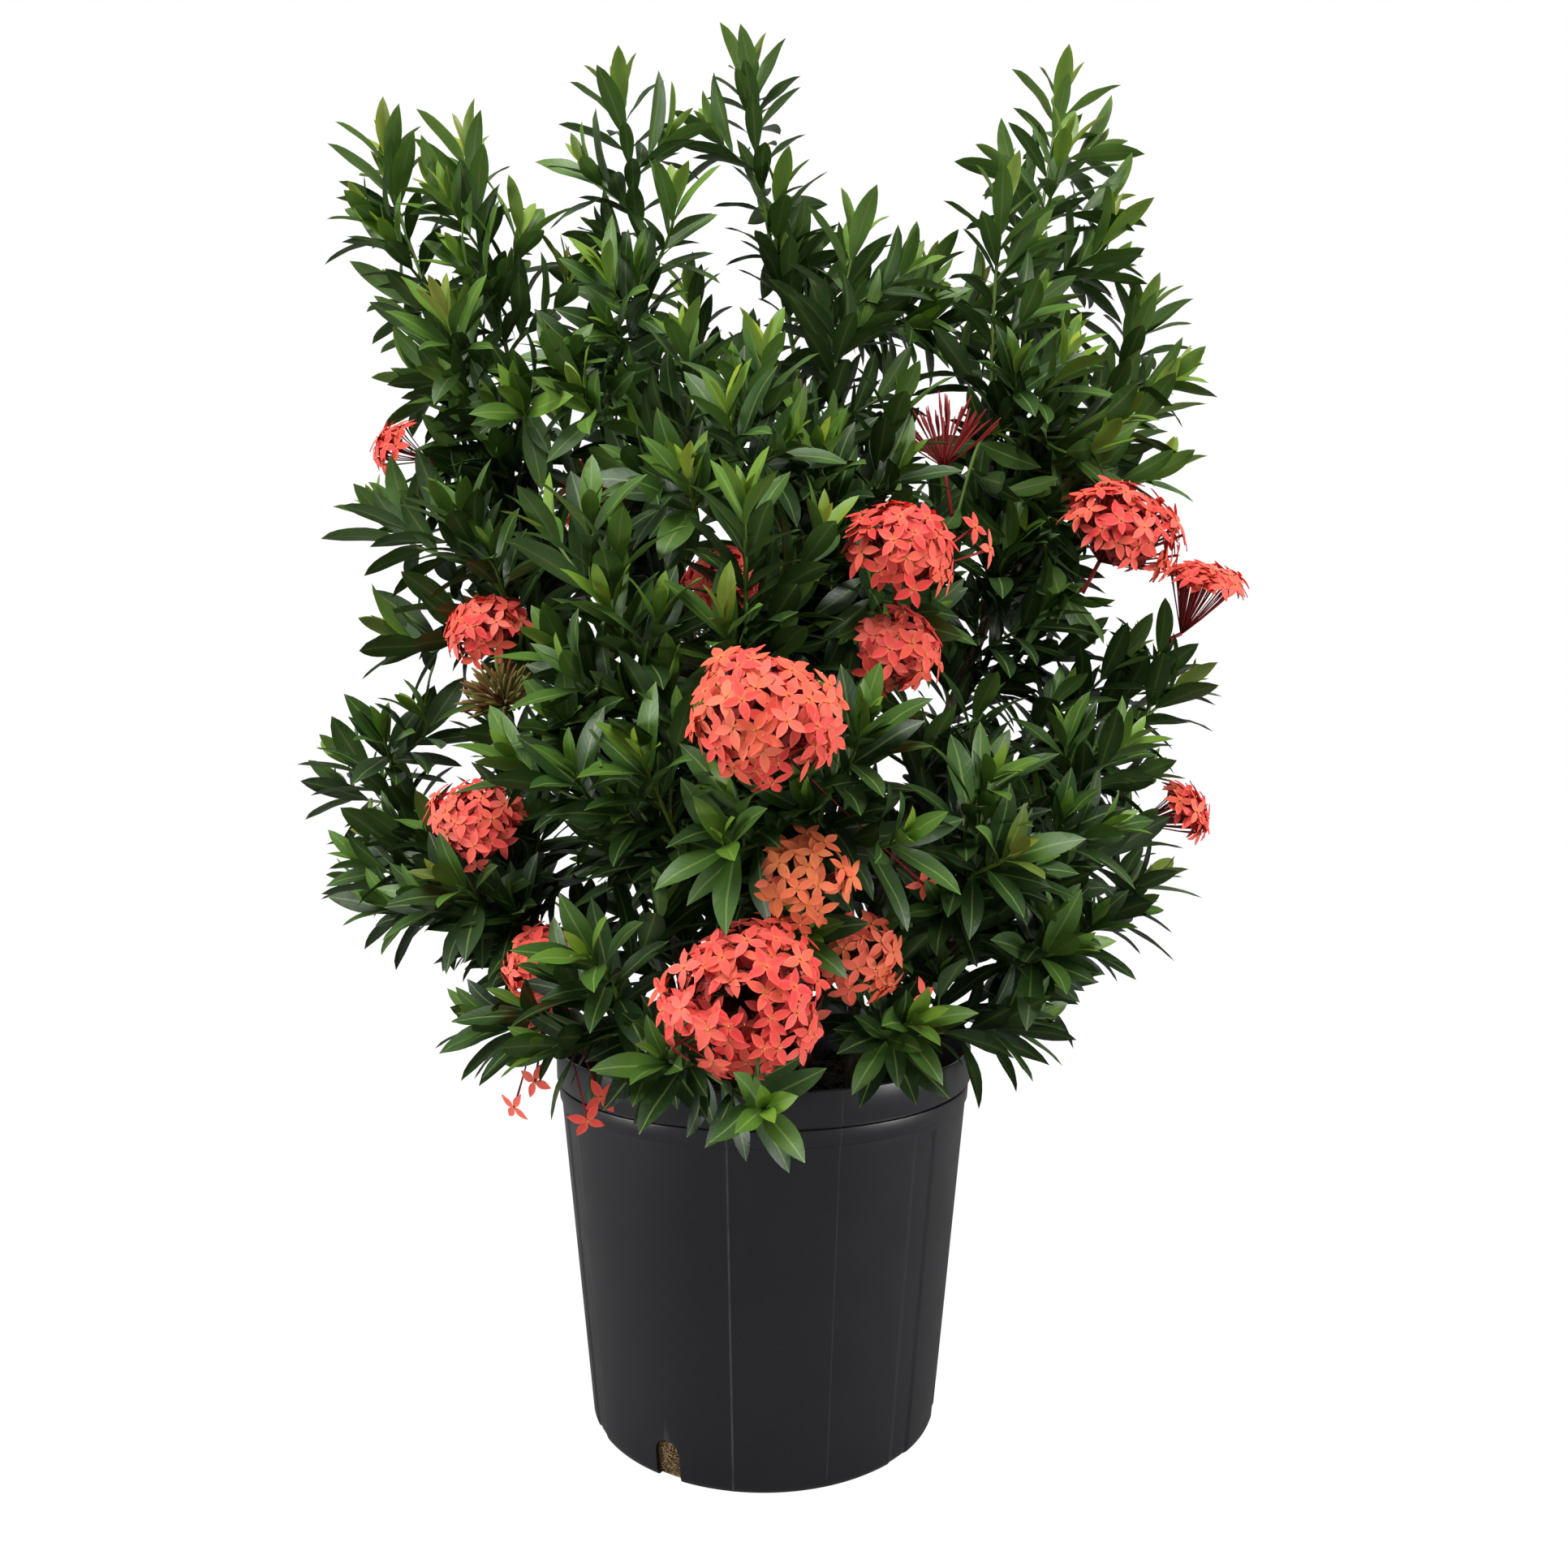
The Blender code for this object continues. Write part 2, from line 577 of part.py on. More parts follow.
# Tubes
def tube(name, path, radius, end_radius, resolution):
    """A round tube along a path, tapering to its end, with flat closed ends."""
    curve = bpy.data.curves.new(name, "CURVE")
    curve.dimensions = "3D"
    curve.bevel_depth = 1.0
    curve.bevel_resolution = resolution
    curve.use_fill_caps = True
    spline = curve.splines.new("POLY")
    spline.points.add(len(path) - 1)
    for i, point in enumerate(path):
        spline.points[i].co = (*point, 1.0)
        spline.points[i].radius = radius + (end_radius - radius) * i / (len(path) - 1)
    thing = bpy.data.objects.new(name, curve)
    cutter_collection.objects.link(thing)
    depsgraph = bpy.context.evaluated_depsgraph_get()
    mesh = bpy.data.meshes.new_from_object(thing.evaluated_get(depsgraph))
    bpy.data.objects.remove(thing)
    solid = bpy.data.objects.new(name, mesh)
    cutter_collection.objects.link(solid)
    face_outward(solid)
    clean(solid, 0.00001)
    return solid


def fuse(name, pieces, colour, roughness):
    """Join pieces into one body by one union on a collection, then remove the pieces."""
    base = pieces[0]
    rest = bpy.data.collections.new(name + "_pieces")
    bpy.context.scene.collection.children.link(rest)
    for piece in pieces[1:]:
        cutter_collection.objects.unlink(piece)
        rest.objects.link(piece)
    cutter_collection.objects.unlink(base)
    part_collection.objects.link(base)
    base.name = name
    base.data.name = name
    if pieces[1:]:
        join = base.modifiers.new("join", "BOOLEAN")
        join.operation = "UNION"
        join.operand_type = "COLLECTION"
        join.collection = rest
        join.solver = "MANIFOLD"
        apply_modifiers(base)
    for piece in list(rest.objects):
        bpy.data.objects.remove(piece)
    bpy.data.collections.remove(rest)
    clean(base, 0.0000005)
    keep_largest(base)
    base.data.materials.clear()
    base.data.materials.append(material_for(name, colour, roughness))
    return base


def faults(thing):
    """The number of edges that don't join exactly two faces."""
    work = bmesh.new()
    work.from_mesh(thing.data)
    count = sum(1 for edge in work.edges if len(edge.link_faces) != 2)
    work.free()
    return count


def fuse_sound(name, make_pieces, values, colour, roughness):
    """Fuse a fresh arrangement until the result is one closed body, at most FUSE_TRIES times."""
    for attempt in range(FUSE_TRIES):
        body = fuse(name, make_pieces(*values), colour, roughness)
        if faults(body) == 0:
            return body
        print("fused again", name)
        if attempt < FUSE_TRIES - 1:
            bpy.data.objects.remove(body)
    return body


def keep_largest(thing):
    """Drop loose scraps so that one body is left."""
    work = bmesh.new()
    work.from_mesh(thing.data)
    work.verts.ensure_lookup_table()
    unseen = set(work.verts)
    groups = []
    while unseen:
        seed = unseen.pop()
        group = {seed}
        front = [seed]
        while front:
            vertex = front.pop()
            for edge in vertex.link_edges:
                other = edge.other_vert(vertex)
                if other in unseen:
                    unseen.remove(other)
                    group.add(other)
                    front.append(other)
        groups.append(group)
    groups.sort(key=len)
    for group in groups[:-1]:
        if len(group) > 12:
            print("dropped a loose piece of", thing.name, len(group))
        bmesh.ops.delete(work, geom=list(group), context="VERTS")
    work.to_mesh(thing.data)
    work.free()


# Leaves
LEAF_UPPER_FACES = [(0, 2, 1), (1, 2, 4), (1, 4, 3), (3, 4, 5)]
LEAF_LOWER_FACES = [(0, 1, 6), (1, 3, 6), (3, 5, 6), (5, 4, 6), (4, 2, 6), (2, 0, 6)]
LEAF_FACES = LEAF_UPPER_FACES + LEAF_LOWER_FACES


def leaf_points(root, direction, face, length, swell):
    """The seven points of a pointed leaf that arches over its length and is keeled beneath.

    One point at the root, set a little past the stem's middle, two pairs on the edges at 30 and 64 hundredths
    of the length, the tip, and one point on the keel. Swell grows the leaf all round, for telling whether it
    is clear of other things.
    """
    side = unit(np.cross(direction, face))
    half = length * LEAF_SLENDERNESS + swell
    along = np.array([0.0, 0.30, 0.30, 0.64, 0.64, 1.0, 0.34]) * length
    along[0] = -LEAF_SUNK
    along[5] += swell
    across = np.array([0.0, -0.88, 0.88, -0.90, 0.90, 0.0, 0.0]) * half
    lift = np.array([0.0, swell, swell, swell, swell, 0.0, -LEAF_KEEL - swell])
    arch = np.array([0.0, 0.045, 0.045, 0.040, 0.040, -0.045, 0.035]) * length
    return root + along[:, None] * direction + across[:, None] * side + (lift + arch)[:, None] * face


def frame_at(path, back):
    """The point a distance back from the end of a path and the direction there, or None past its start."""
    points = path[::-1]
    left = back
    for a, b in zip(points[:-1], points[1:]):
        length = float(np.linalg.norm(b - a))
        if left <= length:
            return a + (b - a) * left / length, unit(a - b)
        left -= length
    return None


def leaf_pose(heading, spin, angle):
    """Direction and upper face of a leaf that leaves a stem at an angle, turned a little to the light."""
    sideways = unit(np.cross(heading, (0.13, 0.05, 1.0)))
    other = np.cross(heading, sideways)
    out = math.cos(spin) * sideways + math.sin(spin) * other
    direction = unit(math.cos(angle) * heading + math.sin(angle) * out)
    face = math.sin(angle) * heading - math.cos(angle) * out + np.array(LIGHT_PULL)
    face = unit(face - direction * float(np.dot(face, direction)))
    return direction, face


def tree_of(things):
    """One search tree over the meshes of several objects."""
    vertices = []
    faces = []
    for thing in things:
        base = len(vertices)
        vertices.extend(v.co.copy() for v in thing.data.vertices)
        faces.extend(tuple(base + i for i in p.vertices) for p in thing.data.polygons)
    return BVHTree.FromPolygons(vertices, faces)


def leaf_tree(points):
    """A search tree over one leaf."""
    return BVHTree.FromPolygons([Vector(p) for p in points], LEAF_FACES)


# Flower heads
def star(name, root, place, outside, turn, radius):
    """A four-cornered floret, a petal to each corner, narrowing to a point at its root."""
    facing = unit(outside)
    sideways = unit(np.cross(facing, (0.21, 0.33, 0.92)))
    other = np.cross(facing, sideways)
    points = []
    for i in range(4):
        angle = turn + math.pi * i / 2
        points.append(place + radius * (math.cos(angle) * sideways + math.sin(angle) * other))
    points.append(place - FLORET_DIP * radius * facing)
    points.append(root)
    faces = [(i, (i + 1) % 4, 4) for i in range(4)] + [((i + 1) % 4, i, 5) for i in range(4)]
    thing = object_from(name, points, faces, cutter_collection)
    face_outward(thing)
    return thing


def spike(name, root, end, radius):
    """A slender bud: three-sided, widest near its end."""
    way = unit(end - root)
    sideways = unit(np.cross(way, (0.31, 0.2, 0.9)))
    other = np.cross(way, sideways)
    middle = root + (end - root) * SPIKE_WIDEST
    points = [root]
    for i in range(3):
        angle = 2 * math.pi * i / 3
        points.append(middle + radius * (math.cos(angle) * sideways + math.sin(angle) * other))
    points.append(end)
    faces = [(0, 2, 1), (0, 3, 2), (0, 1, 3), (4, 1, 2), (4, 2, 3), (4, 3, 1)]
    thing = object_from(name, points, faces, cutter_collection)
    face_outward(thing)
    return thing


def core(name, centre, radius):
    """A small ball that the florets stand out of."""
    work = bmesh.new()
    bmesh.ops.create_icosphere(work, subdivisions=1, radius=radius, matrix=Matrix.Translation(Vector(centre)))
    mesh = bpy.data.meshes.new(name)
    work.to_mesh(mesh)
    work.free()
    thing = bpy.data.objects.new(name, mesh)
    cutter_collection.objects.link(thing)
    return thing


def spread(count, facing, widest, jitter):
    """Directions spread evenly by the golden angle over a cap about the facing direction."""
    facing = unit(facing)
    sideways = unit(np.cross(facing, (0.21, 0.33, 0.92)))
    other = np.cross(facing, sideways)
    directions = []
    for i in range(count):
        cosine = 1.0 - (1.0 - math.cos(widest)) * (i + 0.5) / count
        sine = math.sqrt(max(0.0, 1.0 - cosine * cosine))
        turn = i * GOLDEN_ANGLE + rng.uniform(-jitter, jitter)
        directions.append(unit(cosine * facing + sine * (math.cos(turn) * sideways + math.sin(turn) * other)))
    return directions


def star_head(centre, facing, radius):
    """The core of an open head and the florets that stand out of it all round."""
    middle = centre - facing * radius * CORE_BEHIND
    pieces = [core("core", middle, radius * CORE_SHARE)]
    count = int(round(STARS_BASE_COUNT + (radius / CM) * STARS_PER_CM))
    for way in spread(count, facing, math.radians(STARS_CAP), 0.2):
        reach = radius * rng.uniform(0.92, 1.0) - 0.001
        size = FLORET_RADIUS * rng.uniform(0.88, 1.0)
        root = middle + way * radius * ROOT_SHARE
        pieces.append(star("floret", root, centre + way * reach, way, rng.uniform(0.0, math.pi / 2), size))
    return pieces


def spiky_head(kind, knot, facing, radius):
    """The small knot of a bud cluster or a spent head and the spikes that fan out of it."""
    pieces = [core("core", knot, KNOT_RADIUS)]
    least, most = SPIKE_REACHES[kind]
    for way in spread(SPIKE_COUNT, facing, math.radians(SPIKE_CAPS[kind]), 0.3):
        reach = radius * rng.uniform(least, most)
        pieces.append(spike("bud", knot + way * 0.0008, knot + way * reach, NEEDLE_RADIUS))
    return pieces


def flower_head(name, kind, centre, facing, radius):
    """The stalk, core and florets of one head, as separate closed pieces ready to be fused."""
    foot, heading = bloom_feet[name]
    start = foot + heading * FIT_GAP
    if kind == "stars":
        stalk_end = centre - facing * radius * ROOT_SHARE
        pieces = star_head(centre, facing, radius)
    else:
        stalk_end = centre - facing * radius * KNOT_BEHIND
        pieces = spiky_head(kind, stalk_end, facing, radius)
    path = np.array([start, start + heading * STALK_LEAD, stalk_end])
    return [tube(name, path, STALK_RADIUS, STALK_RADIUS, 0)] + pieces


def free_leaf(root, heading, turn, angle, length, tree):
    """The points of a leaf that touches nothing in the tree, or None when every try touches something."""
    for attempt in range(LEAF_TRIES):
        loose = LEAF_LOOSE + LEAF_LOOSER * attempt
        shrink = 1.0 - LEAF_SHRINK * attempt
        spin = turn + rng.uniform(-loose, loose)
        direction, face = leaf_pose(heading, spin, angle + 0.6 * rng.uniform(-loose, loose))
        grown = leaf_points(root, direction, face, length * shrink, LEAF_CLEARANCE)
        if not leaf_tree(grown).overlap(tree):
            return leaf_points(root, direction, face, length * shrink, 0.0)
    return None


def shoot_pieces(node, tree):
    """The stems of one leafy shoot and its pairs of leaves, each pair turned a quarter from the last."""
    pieces = [tube(node, path, first, last, 0) for path, first, last in shoot_tubes[node]]
    for rank, path in enumerate(leafy_ends[node]):
        spin = rng.uniform(0.0, math.pi)
        for pair in range(2 if rank == 0 else 1):
            found = frame_at(path, PAIR_PLACES[pair])
            if found is None:
                continue
            root, heading = found
            for half_turn in (0.0, math.pi):
                length = LEAF_LENGTH * PAIR_LENGTHS[pair] * rng.uniform(0.88, 1.08)
                turn = spin + pair * math.pi / 2 + half_turn
                points = free_leaf(root, heading, turn, math.radians(PAIR_ANGLES[pair]), length, tree)
                if points is None:
                    print("left out a leaf of", node)
                    continue
                leaf = object_from("leaf", points, LEAF_FACES, cutter_collection)
                face_outward(leaf)
                pieces.append(leaf)
    return pieces


# Build every node: stems first, then the heads, then the shoots with leaves that clear all of them
finished = [pot, potting_mix]
for node, tubes in wood_tubes.items():
    pieces = [tube(node, path, first, last, 0) for path, first, last in tubes]
    finished.append(fuse(node, pieces, STEM_BROWN, 0.85))

for bloom, (kind, shoot, centre, facing, radius) in BLOOMS.items():
    values = (bloom, kind, np.array(centre) * CM, unit(facing), radius * CM)
    finished.append(fuse_sound(bloom, flower_head, values, BLOOM_COLOURS[kind], 0.55))

shoot_stems = {}
for node, tubes in shoot_tubes.items():
    shoot_stems[node] = [tube(node + "_stem", path, first, last, 0) for path, first, last in tubes]
for node in leafy_ends:
    others = [stem for other, stems in shoot_stems.items() if other != node for stem in stems]
    standing = tree_of(finished + others)
    for stem in shoot_stems.pop(node):
        bpy.data.objects.remove(stem)
    finished.append(fuse_sound(node, shoot_pieces, (node, standing), SHOOT_GREEN, 0.5))

total = sum(len(thing.data.polygons) for thing in part_collection.objects)
print("triangles", total, "objects", len(part_collection.objects))
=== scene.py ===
# %% [markdown]
# An ixora in its nursery pot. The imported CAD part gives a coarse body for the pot, the potting mix, every
# stem, every leafy shoot and every flower head. This script puts a finer piece of the same form in the
# place of each, gives all of them materials made of nodes, and lights them as a studio picture on white.
#
# The layout comes first. It follows the same rule, tables and random seed as the CAD source, so a leaf or a
# flower made here stands where its coarse body stands.

# %% Start
import math
import random

import bmesh
import bpy
import numpy as np
from mathutils import Matrix, Vector


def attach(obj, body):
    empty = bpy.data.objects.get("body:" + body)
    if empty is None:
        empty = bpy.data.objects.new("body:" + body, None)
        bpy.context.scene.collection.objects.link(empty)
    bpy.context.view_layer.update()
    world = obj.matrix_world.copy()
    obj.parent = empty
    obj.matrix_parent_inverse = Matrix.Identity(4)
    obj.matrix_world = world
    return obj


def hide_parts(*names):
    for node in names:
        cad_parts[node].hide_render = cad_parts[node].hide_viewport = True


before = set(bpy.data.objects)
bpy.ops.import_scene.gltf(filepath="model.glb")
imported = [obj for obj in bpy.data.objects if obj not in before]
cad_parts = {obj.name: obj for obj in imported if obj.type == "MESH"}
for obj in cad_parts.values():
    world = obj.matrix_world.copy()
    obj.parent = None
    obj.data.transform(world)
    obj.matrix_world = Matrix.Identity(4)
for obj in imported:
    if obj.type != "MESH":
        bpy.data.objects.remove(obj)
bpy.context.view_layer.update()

# %% Sizes of the stems and of what they stand in, in metres
CM = 0.01
SEED = 11
POT_HEIGHT = 0.243
RIM_RADIUS = 0.138
MIX_TOP = 0.209
STEM_HOLE_DEPTH = 0.03
STEM_FOOT_GAP = 0.001
STEM_RISE = 0.010
WOOD_FOOT_RADIUS = 0.0046
WOOD_TOP_RADIUS = 0.0028
TWIG_RADIUS = 0.0021
TWIG_FLARE = 1.15
SHOOT_RADIUS = 0.0016
SHOOT_TIP_RADIUS = 0.0012
SIDE_SHARE = 0.9

# %% [markdown]
# Three tables say where the woody stems go, where each leafy shoot ends and where each flower head sits, in
# centimetres. They were read off the photograph and rounded, with the depth judged from what covers what.

# %% Tables of stems, shoots and flower heads
WOOD = {
    "left": ((-5, 0), (-16, 0, 60)),
    "centre_left": ((-2, 4), (-7, 2, 66)),
    "centre": ((1, 0), (2, -5, 56)),
    "centre_right": ((3, 5), (6, 7, 66)),
    "right": ((6, 1), (18, 1, 60)),
    "front": ((-1, -5), (-1, -13, 41)),
    "left_low": ((-6, -4), (-15, -7, 34)),
    "right_low": ((6, -4), (13, -9, 34)),
    "back": ((1, 8), (1, 13, 50)),
}

# name of the shoot, the stem it leaves, the places its leafy tips reach
SHOOTS = {
    "far_left": ("left", [(-26, 2, 85), (-20, -5, 71), (-24, 3, 70)]),
    "left_tall": ("left", [(-20, 0, 84), (-16, -2, 78), (-13, -1, 75), (-15, -7, 65)]),
    "left_shoulder": ("left", [(-19, -8, 58), (-25, -2, 59), (-23, -5, 51)]),
    "left_crown": ("centre_left", [(-10, 3, 89), (-6, -1, 80), (-10, -4, 74), (-11, -8, 65)]),
    "mid_left": ("centre_left", [(-5, -6, 69), (-4, -17, 58)]),
    "mid_high": ("centre", [(6, -2, 77), (4, 0, 73)]),
    "mid_front": ("centre", [(0, -12, 66), (-2, -16, 62)]),
    "mid_right": ("centre", [(8, -9, 64), (3, -13, 60)]),
    "mid_tall": ("centre_right", [(-1, 6, 92), (1, 4, 83), (12, 8, 79), (16, 10, 78)]),
    "right_crown": ("right", [(16, -1, 80), (19, -5, 68), (21, -5, 63)]),
    "right_tall": ("right", [(21, 5, 90), (20, 0, 84), (24, 3, 80)]),
    "right_outer": ("right", [(27, 5, 75), (27, 3, 68), (27, 2, 63)]),
    "right_far": ("right", [(28, 0, 48), (25, 0, 42)]),
    "front_left": ("front", [(-8, -19, 51), (-12, -14, 56), (-11, -17, 49)]),
    "front_mid": ("front", [(-1, -20, 56), (-2, -20, 50), (3, -18, 55)]),
    "front_centre_left": ("front", [(-6, -22, 43), (-13, -18, 43), (-5, -18, 47)]),
    "front_centre": ("front", [(5, -20, 45), (7, -20, 39), (-2, -22, 39)]),
    "left_far": ("left_low", [(-28, 0, 43), (-22, -4, 46)]),
    "left_arm": ("left_low", [(-25, -3, 38), (-27, 0, 35), (-18, -12, 36)]),
    "front_low_left": ("left_low", [(-9, -20, 33), (-12, -14, 27), (-17, -8, 27), (0, -23, 26)]),
    "front_right": ("right_low", [(12, -17, 42), (13, -18, 38)]),
    "right_front": ("right_low", [(22, -8, 44), (20, -10, 39)]),
    "right_low": ("right_low", [(26, 0, 35), (17, -12, 32)]),
    "rim_right": ("right_low", [(8, -17, 29), (16, -8, 27)]),
    "back_high": ("centre_right", [(-6, 14, 80), (6, 16, 72)]),
    "back_left": ("back", [(-16, 13, 70), (-21, 11, 59)]),
    "back_right": ("back", [(15, 15, 66), (21, 12, 56)]),
    "back_mid": ("back", [(2, 21, 62), (-7, 22, 50)]),
    "back_low_left": ("back", [(-20, 14, 44), (-11, 19, 34)]),
    "back_low_right": ("back", [(22, 11, 42), (9, 20, 34)]),
}

# name of the flower head, its kind, the shoot that bears it, its centre, the way it faces, its radius
BLOOMS = {
    "flower_head_centre": ("stars", "front_centre", (0, -24, 45), (0.0, -0.9, 0.35), 3.6),
    "flower_head_bottom": ("stars", "front_centre", (-1, -21, 31), (0.0, -0.95, 0.2), 3.8),
    "flower_head_upper_right": ("stars", "mid_right", (8, -17, 54), (0.2, -0.7, 0.7), 3.1),
    "flower_head_shaded": ("stars", "mid_right", (7, -13, 48), (0.4, -0.9, 0.1), 2.2),
    "flower_head_right_globe": ("stars", "right_crown", (22, -6, 57), (0.5, -0.4, 0.8), 3.3),
    "flower_head_right_spray": ("stars", "right_far", (30, 0, 53), (0.8, -0.1, 0.6), 2.7),
    "flower_head_left_small": ("stars", "left_shoulder", (-17, -7, 51), (-0.4, -0.7, 0.6), 2.4),
    "flower_head_left_low": ("stars", "left_arm", (-17, -10, 41), (-0.5, -0.7, 0.5), 3.3),
    "flower_head_orange": ("stars", "front_centre", (2, -20, 37), (0.2, -0.9, 0.3), 2.3),
    "flower_head_right_side": ("stars", "right_low", (28, 2, 39), (0.95, -0.2, 0.1), 2.3),
    "flower_head_low_left": ("stars", "front_low_left", (-13, -11, 31), (-0.4, -0.8, 0.2), 2.0),
    "flower_head_low_right": ("stars", "rim_right", (5, -15, 32), (0.3, -0.9, 0.1), 2.4),
    "flower_head_far_left": ("stars", "far_left", (-24, 0, 64), (-0.9, -0.2, 0.4), 1.8),
    "flower_head_tucked": ("stars", "mid_front", (-2, -13, 53), (0.0, -0.7, 0.7), 2.1),
    "bud_cluster_right": ("needles", "right_crown", (12, -5, 62), (0.0, -0.1, 1.0), 2.6),
    "bud_cluster_left": ("needles", "mid_left", (-10, -3, 60), (-0.2, -0.3, 0.9), 2.4),
    "spent_head": ("spent", "front_left", (-15, -14, 48), (-0.2, -0.4, 0.9), 2.4),
    "flower_head_back_left": ("stars", "back_left", (-13, 18, 62), (-0.3, 0.7, 0.6), 3.2),
    "flower_head_back_right": ("stars", "back_right", (13, 20, 55), (0.3, 0.8, 0.5), 3.2),
}

# %% [markdown]
# Every stem is a smooth curve between two points, which leaves along one direction and arrives along
# another. A curve through four control points does that with the fewest numbers, so no stem needs a list of
# points.

# %% Curves
PATH_REACH = 0.36
SAMPLE_STEP = 0.002


def unit(vector):
    """The vector at length one."""
    return np.asarray(vector, float) / max(float(np.linalg.norm(vector)), 1e-9)


def bezier(start, leave, arrive, end, count):
    """P(t) = (1-t)^3 A + 3(1-t)^2 t B + 3(1-t) t^2 C + t^3 D, for ends A and D.

    B lies ahead of A along leave and C behind D along arrive, both by a share of the span.
    """
    reach = np.linalg.norm(end - start) * PATH_REACH
    t = np.linspace(0.0, 1.0, count)[:, None]
    first = start + unit(leave) * reach
    second = end - unit(arrive) * reach
    return (1 - t) ** 3 * start + 3 * (1 - t) ** 2 * t * first + 3 * (1 - t) * t ** 2 * second + t ** 3 * end


def sampled(path):
    """Points close together along the straight pieces of a path."""
    out = []
    for a, b in zip(path[:-1], path[1:]):
        count = max(2, int(np.linalg.norm(b - a) / SAMPLE_STEP) + 1)
        out.append(a + (b - a) * np.linspace(0.0, 1.0, count)[:, None])
    return np.concatenate(out)


def distances(path):
    """The length of a path from its start to each of its points."""
    return np.concatenate([[0.0], np.cumsum(np.linalg.norm(np.diff(path, axis=0), axis=1))])


# %% [markdown]
# Real shoots grow past one another and don't pass through. Before a curve is accepted it is compared with
# the stems, flower heads and pot rim that are there already, and its ends are turned a little more at each
# try.

# %% Keep the stems apart
CLEARANCE = 0.0012
PATH_TRIES = 70
PATH_BEND = 0.9
RIM_KEEP_OUT = (0.126, 0.145)
RIM_KEEP_OUT_HEIGHT = 0.249
RIM_KEEP_OUT_DEPTH = 0.004
rng = random.Random(SEED)
bloom_balls = {name: (np.array(row[2]) * CM, row[4] * CM) for name, row in BLOOMS.items()}
taken_points = np.zeros((0, 3))
taken_radii = np.zeros(0)
taken_nodes = []


def shortfall(path, radius, node, own_bloom):
    """How far the path sinks into what stands already, zero when it is clear of all of it."""
    points = sampled(path)
    worst = 0.0
    other = np.array([name != node for name in taken_nodes], bool)
    if other.any():
        gaps = np.linalg.norm(points[:, None] - taken_points[other][None], axis=2)
        gaps = gaps - taken_radii[other][None] - radius - CLEARANCE
        worst = max(worst, -float(gaps.min()))
    for name, (centre, size) in bloom_balls.items():
        if name != own_bloom:
            gap = float(np.linalg.norm(points - centre, axis=1).min()) - size - radius - CLEARANCE
            worst = max(worst, -gap)
    across = np.hypot(points[:, 0], points[:, 1])
    by_rim = (across > RIM_KEEP_OUT[0]) & (across < RIM_KEEP_OUT[1]) & (points[:, 2] < RIM_KEEP_OUT_HEIGHT)
    return max(worst, RIM_KEEP_OUT_DEPTH if by_rim.any() else 0.0)


def claim(path, radius, node):
    """Note a path as taken."""
    global taken_points, taken_radii
    points = sampled(path)
    taken_points = np.concatenate([taken_points, points])
    taken_radii = np.concatenate([taken_radii, np.full(len(points), radius)])
    taken_nodes.extend([node] * len(points))


def settle(start, leave, arrive, end, corners, steps, radius, node, own_bloom=None):
    """Claim the first curve that is clear of the rest; returns its path of few corners and its smooth one."""
    best = None
    for attempt in range(PATH_TRIES):
        bend = PATH_BEND * attempt / PATH_TRIES
        shift = np.array([rng.uniform(-1, 1) for _ in range(6)])
        ends = (unit(leave) + bend * shift[:3], unit(arrive) + bend * shift[3:])
        path = bezier(start, *ends, end, corners)
        depth = shortfall(path, radius, node, own_bloom)
        if best is None or depth < best[0]:
            best = (depth, path, ends)
        if depth <= 0.0:
            break
    path = best[1]
    claim(path, radius, node)
    return path, bezier(path[0], *best[2], path[-1], steps)


# %% [markdown]
# A side branch leaves its parent at the nearest point that lies a little below the branch's tip, as buds
# grow upward. Shoots at the top of the plant point nearly straight up, and low ones lean out to the light.

# %% Where a branch leaves and how it ends
BRANCH_SPAN = (0.12, 0.80)
BRANCH_BELOW_TIP = 0.05
DOWNHILL_COST = 3.0
LOWEST_FORK = 0.025
LOW_FORK_COST = 50.0
TIP_RISE_RANGE = (8.0, 80.0)
TIP_RISE_START = 22.0
TIP_RISE_HEIGHT = 0.3
TIP_RISE_PER_METRE = 115.0
UP = np.array((0.0, 0.0, 1.0))


def tip_direction(tip):
    """The direction at a shoot's tip, steeper with the tip's height above the ground."""
    rise = TIP_RISE_START + (tip[2] - TIP_RISE_HEIGHT) * TIP_RISE_PER_METRE
    rise = math.radians(min(TIP_RISE_RANGE[1], max(TIP_RISE_RANGE[0], rise)))
    return unit((tip[0], tip[1], 0.0)) * math.cos(rise) + UP * math.sin(rise)


def nearest_start(path, tip):
    """The point of a path that a side branch to the tip leaves from, and the path's direction there."""
    points = sampled(path)
    low = int(len(points) * BRANCH_SPAN[0])
    high = max(low + 1, int(len(points) * BRANCH_SPAN[1]))
    span = points[low:high]
    downhill = np.maximum(0.0, span[:, 2] + BRANCH_BELOW_TIP - tip[2])
    cost = np.linalg.norm(span - tip, axis=1) + DOWNHILL_COST * downhill
    cost = cost + LOW_FORK_COST * np.maximum(0.0, MIX_TOP + LOWEST_FORK - span[:, 2])
    pick = low + int(cost.argmin())
    ahead = points[min(pick + 3, len(points) - 1)] - points[max(pick - 3, 0)]
    return points[pick], unit(ahead)


def from_parent(curve, away, parent):
    """The curve with its first point moved onto the parent's smooth curve, nearest to where it left."""
    curve[0] = parent[int(np.linalg.norm(parent - away, axis=1).argmin())]
    return curve


# %% [markdown]
# The stems grow in the order of the real plant: woody stems from the potting mix, woody twigs off them,
# then the green shoots. Each keeps its coarse path, which decides where the next one starts, and its smooth
# curve, which gets drawn.

